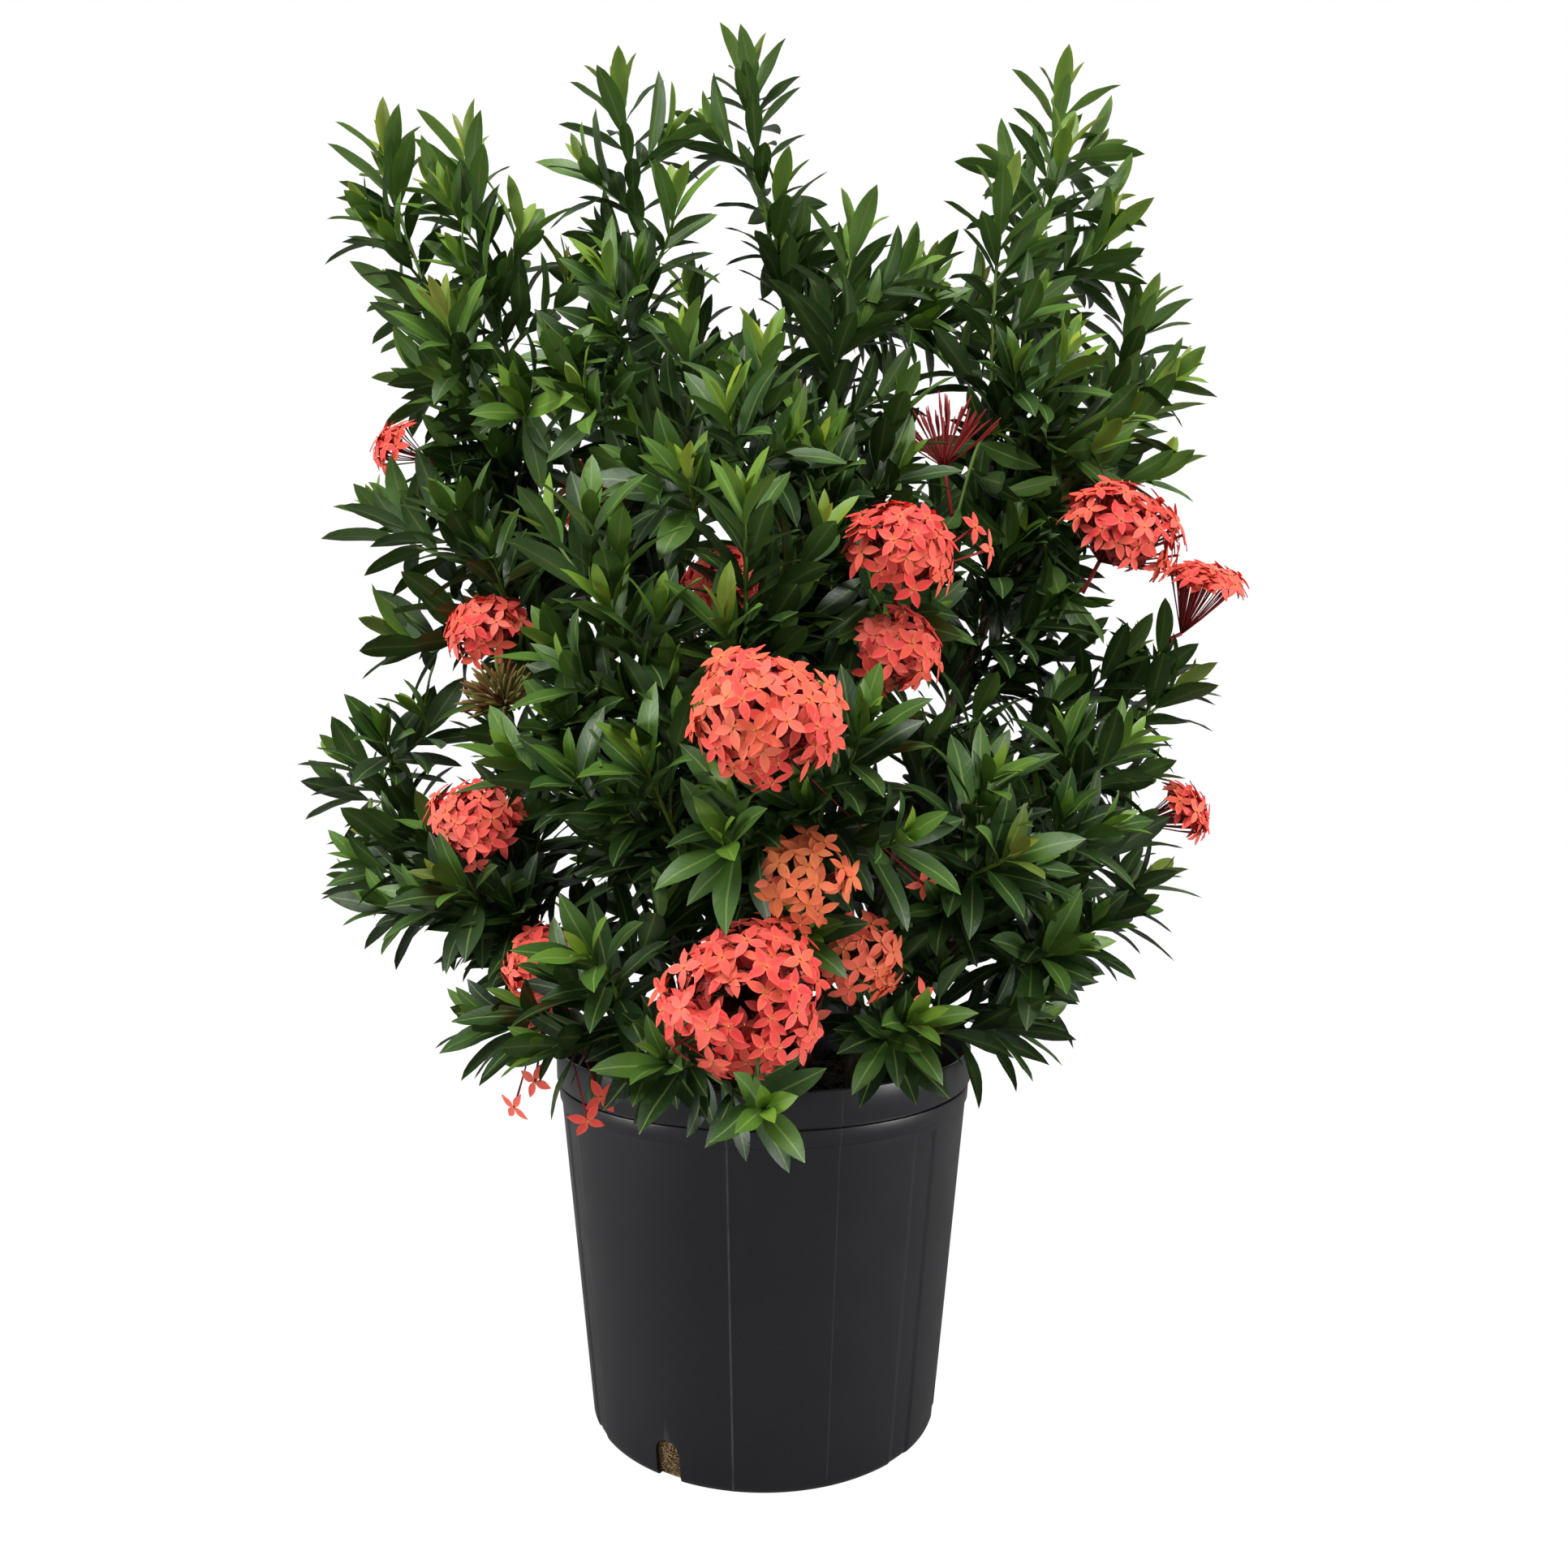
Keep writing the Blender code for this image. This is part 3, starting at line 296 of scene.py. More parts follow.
# %% Woody stems and twigs
TWIG_SHARE = 0.42
TWIG_AIM = 0.06
TWIG_LIFT = 0.25
FORK_SAG = 0.006
FORK_ABOVE_RIM = 0.020
wood_paths = {}
wood_curves = {}
for name, (foot, top) in WOOD.items():
    start = np.array((foot[0] * CM, foot[1] * CM, MIX_TOP - STEM_HOLE_DEPTH + STEM_FOOT_GAP))
    rise = start + UP * (STEM_HOLE_DEPTH + STEM_RISE)
    end = np.array(top) * CM
    node = "woody_stem_" + name
    claim(np.stack([start, rise]), WOOD_FOOT_RADIUS, node)
    path, curve = settle(rise, UP, unit(end - rise), end, 5, 40, WOOD_FOOT_RADIUS, node)
    wood_paths[name] = np.concatenate([start[None], path])
    wood_curves[node] = [(np.concatenate([start[None], curve]), WOOD_FOOT_RADIUS, WOOD_TOP_RADIUS)]

forks = {}
for name, (stem, tips) in SHOOTS.items():
    node = "woody_stem_" + stem
    tip = np.array(tips[0]) * CM
    away, along = nearest_start(wood_paths[stem], tip - UP * TWIG_AIM)
    fork = away + (tip - away) * TWIG_SHARE
    fork[2] = max(fork[2] - FORK_SAG, POT_HEIGHT + FORK_ABOVE_RIM)
    heading = unit(unit(tip - away) + UP * TWIG_LIFT)
    twig, curve = settle(away, unit(along + heading), heading, fork, 3, 14, TWIG_RADIUS, node)
    curve = from_parent(curve, away, wood_curves[node][0][0])
    wood_curves[node].append((curve, TWIG_RADIUS * TWIG_FLARE, TWIG_RADIUS))
    forks[name] = (fork, unit(twig[-1] - twig[-2]))
print("woody stems", len(WOOD), "twigs", len(forks))

# %% [markdown]
# A leafy shoot has one main curve from the end of its twig and side curves off it, and the flower stalks
# leave the same main curve. A hair's gap under each shoot keeps it a body of its own.

# %% Green shoots and flower stalks
FIT_GAP = 0.0003
LEAD_IN = 0.0065
FOOT_BEHIND_HEAD = 0.006
SHOOT_STEPS = 26
leads = {}
shoot_curves = {}


def side_shoot(node, end, arrive, tip_radius, is_leafy, own_bloom=None):
    """Grow a side shoot off a node's main curve; returns the direction that it ends in."""
    lead, main_curve = leads[node]
    away, along = nearest_start(lead, end)
    leave = unit(along + unit(end - away))
    side, curve = settle(away, leave, arrive, end, 3, SHOOT_STEPS, SHOOT_RADIUS, node, own_bloom)
    curve = from_parent(curve, away, main_curve)
    shoot_curves[node].append((curve, SHOOT_RADIUS * SIDE_SHARE, tip_radius, is_leafy))
    return unit(side[-1] - side[-2])


for name, (stem, tips) in SHOOTS.items():
    node = "leafy_shoot_" + name
    fork, heading = forks[name]
    first = fork + heading * FIT_GAP
    tip = np.array(tips[0]) * CM
    lead, curve = settle(first + heading * LEAD_IN, heading, tip_direction(tip), tip, 4, SHOOT_STEPS,
                         SHOOT_RADIUS, node)
    leads[node] = (np.concatenate([first[None], lead]), np.concatenate([first[None], curve]))
    shoot_curves[node] = [(leads[node][1], SHOOT_RADIUS * 1.1, SHOOT_TIP_RADIUS * 0.8, True)]
    for place in tips[1:]:
        tip = np.array(place) * CM
        side_shoot(node, tip, tip_direction(tip), SHOOT_TIP_RADIUS * 0.8, True)

bloom_feet = {}
for name, (kind, shoot, centre, facing, radius) in BLOOMS.items():
    facing = unit(facing)
    foot = np.array(centre) * CM - facing * (radius * CM + FOOT_BEHIND_HEAD)
    heading = side_shoot("leafy_shoot_" + shoot, foot, facing, SHOOT_TIP_RADIUS, False, name)
    bloom_feet[name] = (foot, heading)
print("shoots", len(shoot_curves), "curves", sum(len(c) for c in shoot_curves.values()))

# %% [markdown]
# A mesh with thousands of leaves is quickest to make from arrays. Each leaf, petal or stem hands over a
# block of points and faces, with two values per point that the materials read, and one call makes the
# object.

# %% Gather arrays into a mesh object
SHARP_FROM = math.radians(100.0)


def new_object(name, data):
    """An object in the scene that shows the given mesh, light or camera."""
    thing = bpy.data.objects.new(name, data)
    bpy.context.scene.collection.objects.link(thing)
    return thing


def skin_faces(rows, ring):
    """Faces of a closed skin: rows of ring points, a pole before the first row and one after the last."""
    i, j = np.meshgrid(np.arange(rows - 1), np.arange(ring), indexing="ij")
    k = (j + 1) % ring
    quads = np.stack([i * ring + j, i * ring + k, (i + 1) * ring + k, (i + 1) * ring + j], axis=-1)
    faces = quads.reshape(-1, 4).tolist()
    pole = rows * ring
    for a in range(ring):
        b = (a + 1) % ring
        faces.append([pole, b, a])
        faces.append([pole + 1, pole - ring + a, pole - ring + b])
    return faces


class Gather:
    """Blocks of points, each with its tint and place values, and the faces that join them."""

    def __init__(self):
        self.blocks = []
        self.faces = []
        self.count = 0

    def add(self, points, faces, tint, place):
        """Take in one closed surface, with a tint and a place for all its points or one for each."""
        self.faces.extend([[v + self.count for v in face] for face in faces])
        tints = np.broadcast_to(tint, (len(points), 4))
        self.blocks.append((points, tints, np.broadcast_to(place, points.shape)))
        self.count += len(points)

    def build(self, name, material):
        """Make the object, with its colour attribute tint and its vector attribute place."""
        points, tints, places = (np.concatenate(column) for column in zip(*self.blocks))
        mesh = bpy.data.meshes.new(name)
        mesh.from_pydata(points.tolist(), [], self.faces)
        tint = mesh.attributes.new("tint", "FLOAT_COLOR", "POINT")
        tint.data.foreach_set("color", tints.astype(np.float32).ravel())
        place = mesh.attributes.new("place", "FLOAT_VECTOR", "POINT")
        place.data.foreach_set("vector", places.astype(np.float32).ravel())
        mesh.polygons.foreach_set("use_smooth", [True] * len(mesh.polygons))
        mesh.materials.append(material)
        mesh.update()
        mesh.set_sharp_from_angle(angle=SHARP_FROM)
        return new_object(name, mesh)


# %% [markdown]
# Stems, floret tubes, bark chips and roots are all thin and round, so one function draws a tube along a
# path. A curve object with a bevel could do that too, but its rings carry no values for a material.

# %% Tubes
PLAIN_PLACE = (0.5, 0.5, 0.0)


def frames_along(path):
    """Tangents of a path and two directions square to them that don't twist along it."""
    tangents = np.gradient(path, axis=0)
    tangents /= np.linalg.norm(tangents, axis=1)[:, None] + 1e-12
    sides = np.zeros_like(path)
    side = unit(np.cross(tangents[0], (0.13, 0.31, 0.94)))
    for i, tangent in enumerate(tangents):
        side = unit(side - tangent * float(np.dot(side, tangent)))
        sides[i] = side
    return tangents, sides, np.cross(tangents, sides)


def add_tube(gather, path, radii, sides, tint, place=None):
    """Add rings p(i) + r(i)(cos a S + sin a T) along a path, closed by a pole at each end.

    Unless it is given, the place value is the distance along the path, the angle a and zero.
    """
    tangents, side, other = frames_along(path)
    angles = np.linspace(0.0, 2 * math.pi, sides, endpoint=False)
    ring = np.cos(angles)[None, :, None] * side[:, None] + np.sin(angles)[None, :, None] * other[:, None]
    points = (path[:, None] + ring * np.asarray(radii)[:, None, None]).reshape(-1, 3)
    points = np.concatenate([points, path[:1], path[-1:] + tangents[-1:] * radii[-1] * 0.6])
    if place is None:
        lengths = distances(path)
        along = np.concatenate([np.repeat(lengths, sides), [0.0, lengths[-1]]])
        around = np.concatenate([np.tile(angles, len(path)), [0.0, 0.0]])
        place = np.stack([along, around, np.zeros_like(along)], axis=1)
    gather.add(points, skin_faces(len(path), sides), tint, place)


# %% [markdown]
# Materials are node trees. A small class keeps the trees below readable: each of its methods adds one node,
# sets or links what goes in, and gives back the output.

# %% Node helpers
class Wiring:
    """Short ways to add nodes to a node tree and join them."""

    def __init__(self, tree):
        self.tree = tree

    def add(self, kind, **settings):
        """A new node with its settings."""
        made = self.tree.nodes.new("ShaderNode" + kind)
        for key, value in settings.items():
            setattr(made, key, value)
        return made

    def put(self, value, socket):
        """Link an output to a socket, or set a number or colour on it."""
        if isinstance(value, bpy.types.NodeSocket):
            self.tree.links.new(value, socket)
        else:
            socket.default_value = (*value, 1.0) if socket.type == "RGBA" else value

    def math(self, operation, *operands):
        """A math operation on outputs or numbers."""
        made = self.add("Math", operation=operation)
        for value, socket in zip(operands, made.inputs):
            self.put(value, socket)
        return made.outputs[0]

    def over(self, value, level, gain):
        """How far a value is over a level, times a gain, and zero below it."""
        return self.math("MULTIPLY", self.math("MAXIMUM", self.math("SUBTRACT", value, level), 0.0), gain)

    def fade(self, value, reach):
        """1 where a value is zero, falling evenly to 0 at the reach."""
        return self.math("MAXIMUM", self.math("SUBTRACT", 1.0, self.math("DIVIDE", value, reach)), 0.0)

    def ramp(self, factor, *stops):
        """A colour ramp with stops of (position, colour)."""
        made = self.add("ValToRGB")
        elements = made.color_ramp.elements
        while len(elements) < len(stops):
            elements.new(0.5)
        for element, (position, colour) in zip(elements, stops):
            element.position = position
            element.color = (*colour, 1.0)
        self.put(factor, made.inputs["Fac"])
        return made.outputs["Color"]

    def mix(self, factor, first, second):
        """A mix of two colours."""
        made = self.add("Mix", data_type="RGBA")
        for value, number in ((factor, 0), (first, 6), (second, 7)):
            self.put(value, made.inputs[number])
        return made.outputs[2]

    def parts(self, name, output, splitter):
        """The three parts of a vertex attribute."""
        made = self.add(splitter)
        self.put(self.add("Attribute", attribute_name=name).outputs[output], made.inputs[0])
        return made.outputs

    def noise(self, scale, detail=3.0, vector=None):
        """A noise texture over object coordinates, or over another vector."""
        made = self.add("TexNoise")
        self.put(scale, made.inputs["Scale"])
        self.put(detail, made.inputs["Detail"])
        self.put(vector or self.add("TexCoord").outputs["Object"], made.inputs["Vector"])
        return made.outputs["Fac"]

    def dot(self, vector, axis):
        """The dot product of a vector with a fixed axis."""
        made = self.add("VectorMath", operation="DOT_PRODUCT")
        self.put(vector, made.inputs[0])
        self.put(axis, made.inputs[1])
        return made.outputs["Value"]


class Finish(Wiring):
    """A material while it is wired, with the inputs of its Principled shader at hand."""

    def __init__(self, name, roughness, specular):
        self.material = bpy.data.materials.new(name)
        self.material.use_nodes = True
        super().__init__(self.material.node_tree)
        self.shader = self.tree.nodes["Principled BSDF"]
        self.inputs = self.shader.inputs
        self.inputs["Roughness"].default_value = roughness
        self.inputs["Specular IOR Level"].default_value = specular

    def tint(self):
        """The three parts of the tint attribute."""
        return self.parts("tint", "Color", "SeparateColor")

    def place(self):
        """The three parts of the place attribute."""
        return self.parts("place", "Vector", "SeparateXYZ")

    def bump(self, height, strength, distance):
        """Feed a height into the shader's normal."""
        made = self.add("Bump")
        self.put(strength, made.inputs["Strength"])
        self.put(distance, made.inputs["Distance"])
        self.put(height, made.inputs["Height"])
        self.put(made.outputs["Normal"], self.inputs["Normal"])

    def blend_with(self, kind, socket, value, share):
        """Mix a second shader into the surface, with one of its inputs set or linked."""
        second = self.add(kind)
        self.put(value, second.inputs[socket])
        both = self.add("MixShader")
        for source, number in ((share, 0), (self.shader.outputs[0], 1), (second.outputs[0], 2)):
            self.put(source, both.inputs[number])
        self.put(both.outputs[0], self.tree.nodes["Material Output"].inputs["Surface"])


# %% [markdown]
# A leaf's colour runs from yellow-green at the shoot tip through mid green to a dark, nearly black green,
# and that dark end is also painted shade for leaves inside the plant and low down. The tint attribute carries
# the leaf's age with that painted shade added, a random number of its own and a bronze share for young
# leaves.
# The place attribute says where a point is on the blade, so the veins can follow it. A second, translucent
# shader lets some light through, because thin leaves glow when lit from behind.

# %% Leaf material
leaf = Finish("leaf_blade", 0.42, 0.42)
age, own_number, bronze_share = leaf.tint()
along, across, beneath = leaf.place()
patch = leaf.noise(60.0)
age = leaf.math("MULTIPLY_ADD", leaf.math("SUBTRACT", patch, 0.5), 0.20, age)
age = leaf.math("MULTIPLY_ADD", leaf.math("SUBTRACT", own_number, 0.5), 0.16, age)
# the ramp's dark end is painted shade for leaves deep in the plant and low down, besides the colour of old
# leaves
blade = leaf.ramp(
    age,
    (0.0, (0.320, 0.390, 0.030)),
    (0.20, (0.185, 0.320, 0.026)),
    (0.42, (0.088, 0.190, 0.022)),
    (0.68, (0.034, 0.085, 0.015)),
    (1.0, (0.009, 0.026, 0.007)),
)
blade = leaf.mix(bronze_share, blade, (0.20, 0.085, 0.025))
across = leaf.math("ABSOLUTE", across)
slant = leaf.math("MULTIPLY_ADD", across, -0.16, along)
rib = leaf.over(leaf.math("SINE", leaf.math("MULTIPLY", slant, 75.0)), 0.80, 2.4)
middle = leaf.fade(across, 0.13)
veined = leaf.mix(leaf.math("MULTIPLY", rib, 0.16), blade, (0.13, 0.22, 0.045))
veined = leaf.mix(leaf.math("MULTIPLY", middle, 0.70), veined, (0.24, 0.33, 0.085))
under = leaf.math("MULTIPLY", beneath, 0.5)
leaf.put(leaf.mix(under, veined, (0.090, 0.140, 0.042)), leaf.inputs["Base Color"])
leaf.put(leaf.math("MULTIPLY_ADD", patch, 0.22, 0.30), leaf.inputs["Roughness"])
grain = leaf.math("MULTIPLY", leaf.noise(420.0), 0.25)
leaf.bump(leaf.math("MULTIPLY_ADD", rib, 0.35, grain), 0.35, 0.0006)
leaf.blend_with("BsdfTranslucent", "Color", leaf.mix(0.65, veined, (0.16, 0.30, 0.03)), 0.14)

# %% [markdown]
# A leaf and a petal are both thin closed blades, so they share one grid of points: rows along the blade
# with two edges, a crease on top and a crease beneath. With so few faces thousands of them stay light, and
# the curve comes from smooth shading.

# %% Thin blades
BLADE_RING = np.array([-1.0, 0.0, 1.0, 0.0])
BLADE_UNDER = np.array([0.0, 0.0, 0.0, 1.0])


def blade_grid(u):
    """The u, s and underside values of a blade's points, in rows at the shares u, and its faces."""
    rows = len(u)
    along = np.concatenate([np.repeat(u, len(BLADE_RING)), [0.0, 1.0]])
    across = np.concatenate([np.tile(BLADE_RING, rows), [0.0, 0.0]])
    beneath = np.concatenate([np.tile(BLADE_UNDER, rows), [0.0, 0.0]])
    return along, across, beneath, skin_faces(rows, len(BLADE_RING))


def add_blade(gather, blade, root, direction, face, length, half, lift, tint):
    """Add a blade: point(u, s) = root + L u D + w(u) s S + h(u, s) F, with S square to D and F."""
    u, s, beneath, faces = blade
    side = unit(np.cross(direction, face))
    points = root + (u * length)[:, None] * direction + (s * half)[:, None] * side + lift[:, None] * face
    gather.add(points, faces, tint, np.stack([u, s, beneath], axis=1))


# %% Leaf
LEAF_LENGTH = 0.046
LEAF_HALF_WIDTH = 0.152
LEAF_THICKNESS = 0.00045
LEAF_ROWS = 8
LEAF_WAVE = 0.012
leaf_blade = blade_grid(np.linspace(0.0, 1.0, LEAF_ROWS + 2)[1:-1])
leaf_outline = np.sin(math.pi * leaf_blade[0] ** 1.1) ** 0.78


def add_leaf(gather, root, direction, face, length, tint, bend, fold, wave, width):
    """Add one leaf, arched along its length, folded on its midrib and wavy.

    Half width w(u) = sin(pi u^1.1)^0.78, from a narrow base to a blunt-pointed tip, widest past the middle.
    """
    u, s, beneath, faces = leaf_blade
    half = leaf_outline * LEAF_HALF_WIDTH * width * length
    lift = bend * length * (u - u ** 2 * 1.25) + fold * np.abs(s * half)
    lift = lift + wave * length * LEAF_WAVE * np.sin(u * 11.0 + s * 2.0) - beneath * LEAF_THICKNESS
    add_blade(gather, leaf_blade, root, direction, face, length, half, lift, tint)


print("triangles in a leaf", sum(len(f) - 2 for f in leaf_blade[3]))

# %% [markdown]
# A leaf leaves its stem at an angle and turns its upper face a little to the light. It must not stand
# inside a flower head, hide one, or pass through the pot, so each leaf is tried before it is added.

# %% Where a leaf may stand
LIGHT_PULL = np.array((0.0, -0.1, 0.55))
HEAD_KEEP_OUT = 0.93
VIEW_REACH = 0.055
VIEW_SHARE = 0.7
POT_KEEP_OUT_HEIGHT = POT_HEIGHT + 0.004
POT_KEEP_OUT_RADIUS = RIM_RADIUS + 0.006
PLANT_MIDDLE = np.array((0.0, 0.0, 0.52))
PLANT_REACH = np.array((0.30, 0.24, 0.42))
bloom_faces = {name: unit(row[3]) for name, row in BLOOMS.items()}


def along_back(curve, back):
    """The point a distance back from the end of a curve, and the direction there, or None past its start."""
    points = curve[::-1]
    lengths = distances(points)
    if back >= lengths[-1]:
        return None
    i = int(np.searchsorted(lengths, back, side="right")) - 1
    share = (back - lengths[i]) / max(lengths[i + 1] - lengths[i], 1e-9)
    return points[i] + (points[i + 1] - points[i]) * share, unit(points[i] - points[i + 1])


def leaf_pose(heading, spin, angle):
    """Direction and upper face of a leaf that leaves a stem at an angle, with a spin about the stem."""
    sideways = unit(np.cross(heading, (0.13, 0.05, 1.0)))
    out = math.cos(spin) * sideways + math.sin(spin) * np.cross(heading, sideways)
    direction = unit(math.cos(angle) * heading + math.sin(angle) * out)
    face = math.sin(angle) * heading - math.cos(angle) * out + LIGHT_PULL
    return direction, unit(face - direction * float(np.dot(face, direction)))


def in_the_way(root, direction, length):
    """True when the middle or tip of a leaf would be in a flower head, close before one, or in the pot."""
    for share in (0.35, 0.65, 1.0):
        point = root + direction * length * share
        for name, (centre, radius) in bloom_balls.items():
            off = point - centre
            if np.linalg.norm(off) < radius * HEAD_KEEP_OUT:
                return True
            ahead = float(np.dot(off, bloom_faces[name]))
            beside = np.linalg.norm(off - ahead * bloom_faces[name])
            if 0.0 < ahead < VIEW_REACH and beside < radius * VIEW_SHARE:
                return True
        if point[2] < POT_KEEP_OUT_HEIGHT and math.hypot(point[0], point[1]) < POT_KEEP_OUT_RADIUS:
            return True
    return False


def clamped(value, low=0.0, high=1.0):
    """The value, kept between two limits."""
    return float(np.clip(value, low, high))


def leaf_age_and_shade(root, pair, is_leafy, shade):
    """0 for a new leaf and 1 for the darkest: older down the shoot, plus painted shade inside the plant, low
    down and as given, and painted light high up.
    """
    youth = max(0.0, 1.0 - pair / 3.2) if is_leafy else 0.0
    # painted shade: darker deep inside the plant, darker low down and lighter high up
    inside = clamped(1.15 - np.linalg.norm((root - PLANT_MIDDLE) / PLANT_REACH))
    painted_shade_by_height = clamped((0.55 - root[2]) * 0.65, -0.10, 0.17)
    age = 0.40 - 0.38 * youth + 0.035 * min(pair, 7) + 0.30 * inside + shade + painted_shade_by_height
    return clamped(age + grow.uniform(-0.07, 0.07))


# %% [markdown]
# Ixora leaves stand in pairs, each pair a quarter turn from the one below. Near the tip they are short,
# bright and close to the stem. Further down they are full size, dark, and stand out almost square to the
# stem.

# %% Pairs of leaves down a stem
PAIR_PLACES = [0.002, 0.007, 0.014, 0.023, 0.033, 0.043, 0.054, 0.066, 0.079, 0.093, 0.108, 0.124]
PAIR_LENGTHS = [0.55, 0.80, 1.00, 1.08, 1.06, 1.03, 1.0, 0.98, 0.96, 0.94, 0.92, 0.90]
PAIR_ANGLES = [15.0, 28.0, 38.0, 46.0, 52.0, 57.0, 61.0, 64.0, 66.0, 68.0, 70.0, 72.0]
BELOW_HEAD = 0.004
CLOSED_SHARE = 0.55
SHORT_SHARE = 0.85
grow = random.Random(SEED + 1)


def leaves_on(gather, curve, is_leafy, bronze, pairs, shade=0.0):
    """Pairs of leaves down one curve from its end, each darkened by the painted shade given; under a flower
    head the first pair is left out.
    """
    spin = grow.uniform(0.0, math.pi)
    vigour = grow.uniform(0.88, 1.08)
    for pair in range(0 if is_leafy else 1, pairs):
        found = along_back(curve, PAIR_PLACES[pair] * vigour + (0.0 if is_leafy else BELOW_HEAD))
        if found is None:
            break
        root, heading = found
        for half_turn in (0.0, math.pi):
            length = LEAF_LENGTH * PAIR_LENGTHS[pair] * grow.uniform(0.84, 1.10)
            angle = math.radians(PAIR_ANGLES[pair] + grow.uniform(-9.0, 9.0))
            turn = spin + pair * math.pi / 2 + half_turn + grow.uniform(-0.3, 0.3)
            direction, face = leaf_pose(heading, turn, angle)
            if in_the_way(root, direction, length):
                direction, face = leaf_pose(heading, turn + grow.uniform(-0.9, 0.9), angle * CLOSED_SHARE)
                length *= SHORT_SHARE
                if in_the_way(root, direction, length):
                    continue
            age = leaf_age_and_shade(root, pair, is_leafy, shade)
            tint = (age, grow.random(), bronze * max(0.0, 1.0 - pair / 2.0), 1.0)
            bend = 0.10 + 0.10 * grow.random() + 0.012 * pair
            width = grow.uniform(0.92, 1.08) - 0.16 * clamped((root[2] - 0.6) / 0.3)
            fold = 0.22 - 0.012 * pair
            add_leaf(gather, root, direction, face, length, tint, bend, fold, grow.uniform(0.3, 1.0), width)


# %% [markdown]
# Lower down, a shoot is thick with short side sprigs. They follow the same rule as the shoots, from points
# at uneven spacings, so that no two shoots look alike.

# %% Short side sprigs
LOWEST_SPRIG = 0.262
SPRIG_PAIRS = 5
SPRIG_TINT = (0.55, 0.5, 0.1, 1.0)


def add_sprigs(gather, curve, from_end, spacing, shade):
    """Short leafy side sprigs along the lower part of a curve, leaning outward and up, their leaves darkened
    by the painted shade given.
    """
    back = from_end + grow.uniform(0.0, 0.01)
    while back < distances(curve)[-1] - 0.006:
        root, heading = along_back(curve, back)
        back += spacing * grow.uniform(0.8, 1.3)
        if root[2] < LOWEST_SPRIG:
            continue
        around = unit([grow.uniform(-1, 1), grow.uniform(-1, 1), grow.uniform(-0.2, 0.6)])
        outward = unit((root[0], root[1] - 0.03, 0.0)) * grow.uniform(0.1, 0.8)
        way = unit(0.55 * heading + 0.75 * around + outward + UP * 0.15)
        length = grow.uniform(0.030, 0.055)
        if in_the_way(root, way, length + 0.02):
            continue
        sprig = bezier(root, unit(heading + way), unit(way + UP * 0.5), root + way * length, 8)
        add_tube(gather, sprig, np.linspace(0.0012, 0.0008, 8), 5, SPRIG_TINT, PLAIN_PLACE)
        leaves_on(gather, sprig, True, 0.0, SPRIG_PAIRS, shade)


# %% [markdown]
# Each shoot becomes one piece with all its curves, leaves and sprigs, as it grew, and takes the place of
# its coarse body. Its smooth stems have no bark yet and share the leaves' green.

# %% Leafy shoots
SPRIGS_FROM_END = 0.050
SPRIG_SPACING = 0.024
BRONZE_CHANCE = 0.22
block_total = 0
for name, curves in shoot_curves.items():
    gather = Gather()
    for curve, first, last, is_leafy in curves:
        add_tube(gather, curve, np.linspace(first, last, len(curve)), 7, (0.40, 0.5, 0.12, 1.0), PLAIN_PLACE)
        bronze = 0.45 if grow.random() < BRONZE_CHANCE else 0.0
        leaves_on(gather, curve, is_leafy, bronze, len(PAIR_PLACES))
        # 0.16 is painted shade on the leaves of the sprigs, which sit deeper in the plant
        add_sprigs(gather, curve, SPRIGS_FROM_END, SPRIG_SPACING, 0.16)
    piece = gather.build(name.replace("leafy_shoot", "leaves"), leaf.material)
    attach(piece, "root")
    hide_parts(name)
    block_total += len(gather.blocks)
print("leaves and stems on the shoots", block_total)

# %% [markdown]
# The woody twigs inside the plant bear leaves too. Their leaves get painted shade and are half hidden, but
# without them daylight shows through the middle. Each woody stem gets sprigs all along, and short side
# shoots where a gap is left.

# %% Leaves inside the plant
INNER_SPACING = 0.017
# the tips that the short side shoots reach, in centimetres
FILLERS = {
    "woody_stem_right": [(21, 0, 51), (19, -3, 47), (24, -1, 50), (18, -4, 53), (16, -4, 57), (22, -3, 44),
                         (27, 1, 49)],
    "woody_stem_right_low": [(10, -8, 44), (13, -8, 46), (13, -11, 42), (17, -7, 40), (24, -2, 38)],
    "woody_stem_front": [(6, -11, 40), (-8, -13, 38), (7, -12, 33)],
    "woody_stem_centre": [(8, -8, 51), (-3, -8, 47)],
    "woody_stem_left_low": [(-19, -5, 37), (-14, -9, 40), (-17, -4, 45)],
    "woody_stem_left": [(-18, -1, 53), (-20, 0, 63), (-14, -4, 58)],
}


def nearest_on(curves, tip):
    """The point among several curves that a side shoot to the tip would leave from."""
    points = np.concatenate([curve[2:-1] for curve, first, last in curves])
    points = points[points[:, 2] > LOWEST_SPRIG]
    downhill = np.maximum(0.0, points[:, 2] + 0.04 - tip[2])
    return points[int((np.linalg.norm(points - tip, axis=1) + DOWNHILL_COST * downhill).argmin())]


for name, curves in wood_curves.items():
    gather = Gather()
    for curve, first, last in curves:
        # 0.30 here and 0.14 below are painted shade on the leaves inside the plant
        add_sprigs(gather, curve, 0.004, INNER_SPACING, 0.30)
    for tip in FILLERS.get(name, ()):
        tip = np.array(tip) * CM
        root = nearest_on(curves, tip)
        path = bezier(root, unit(unit(tip - root) + UP * 0.6), unit((tip[0], tip[1], 0.25)), tip, 16)
        add_tube(gather, path, np.linspace(0.0015, 0.0009, 16), 6, (0.5, 0.5, 0.1, 1.0), PLAIN_PLACE)
        leaves_on(gather, path, True, 0.0, 9, 0.14)
    if gather.count:
        piece = gather.build(name.replace("woody_stem", "inner_leaves"), leaf.material)
        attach(piece, "root")

# %% [markdown]
# Bark is grey-brown with pale flecks, and rougher than anything else on the plant. Its colour and its bump
# both come from noise that is stretched along the stem.

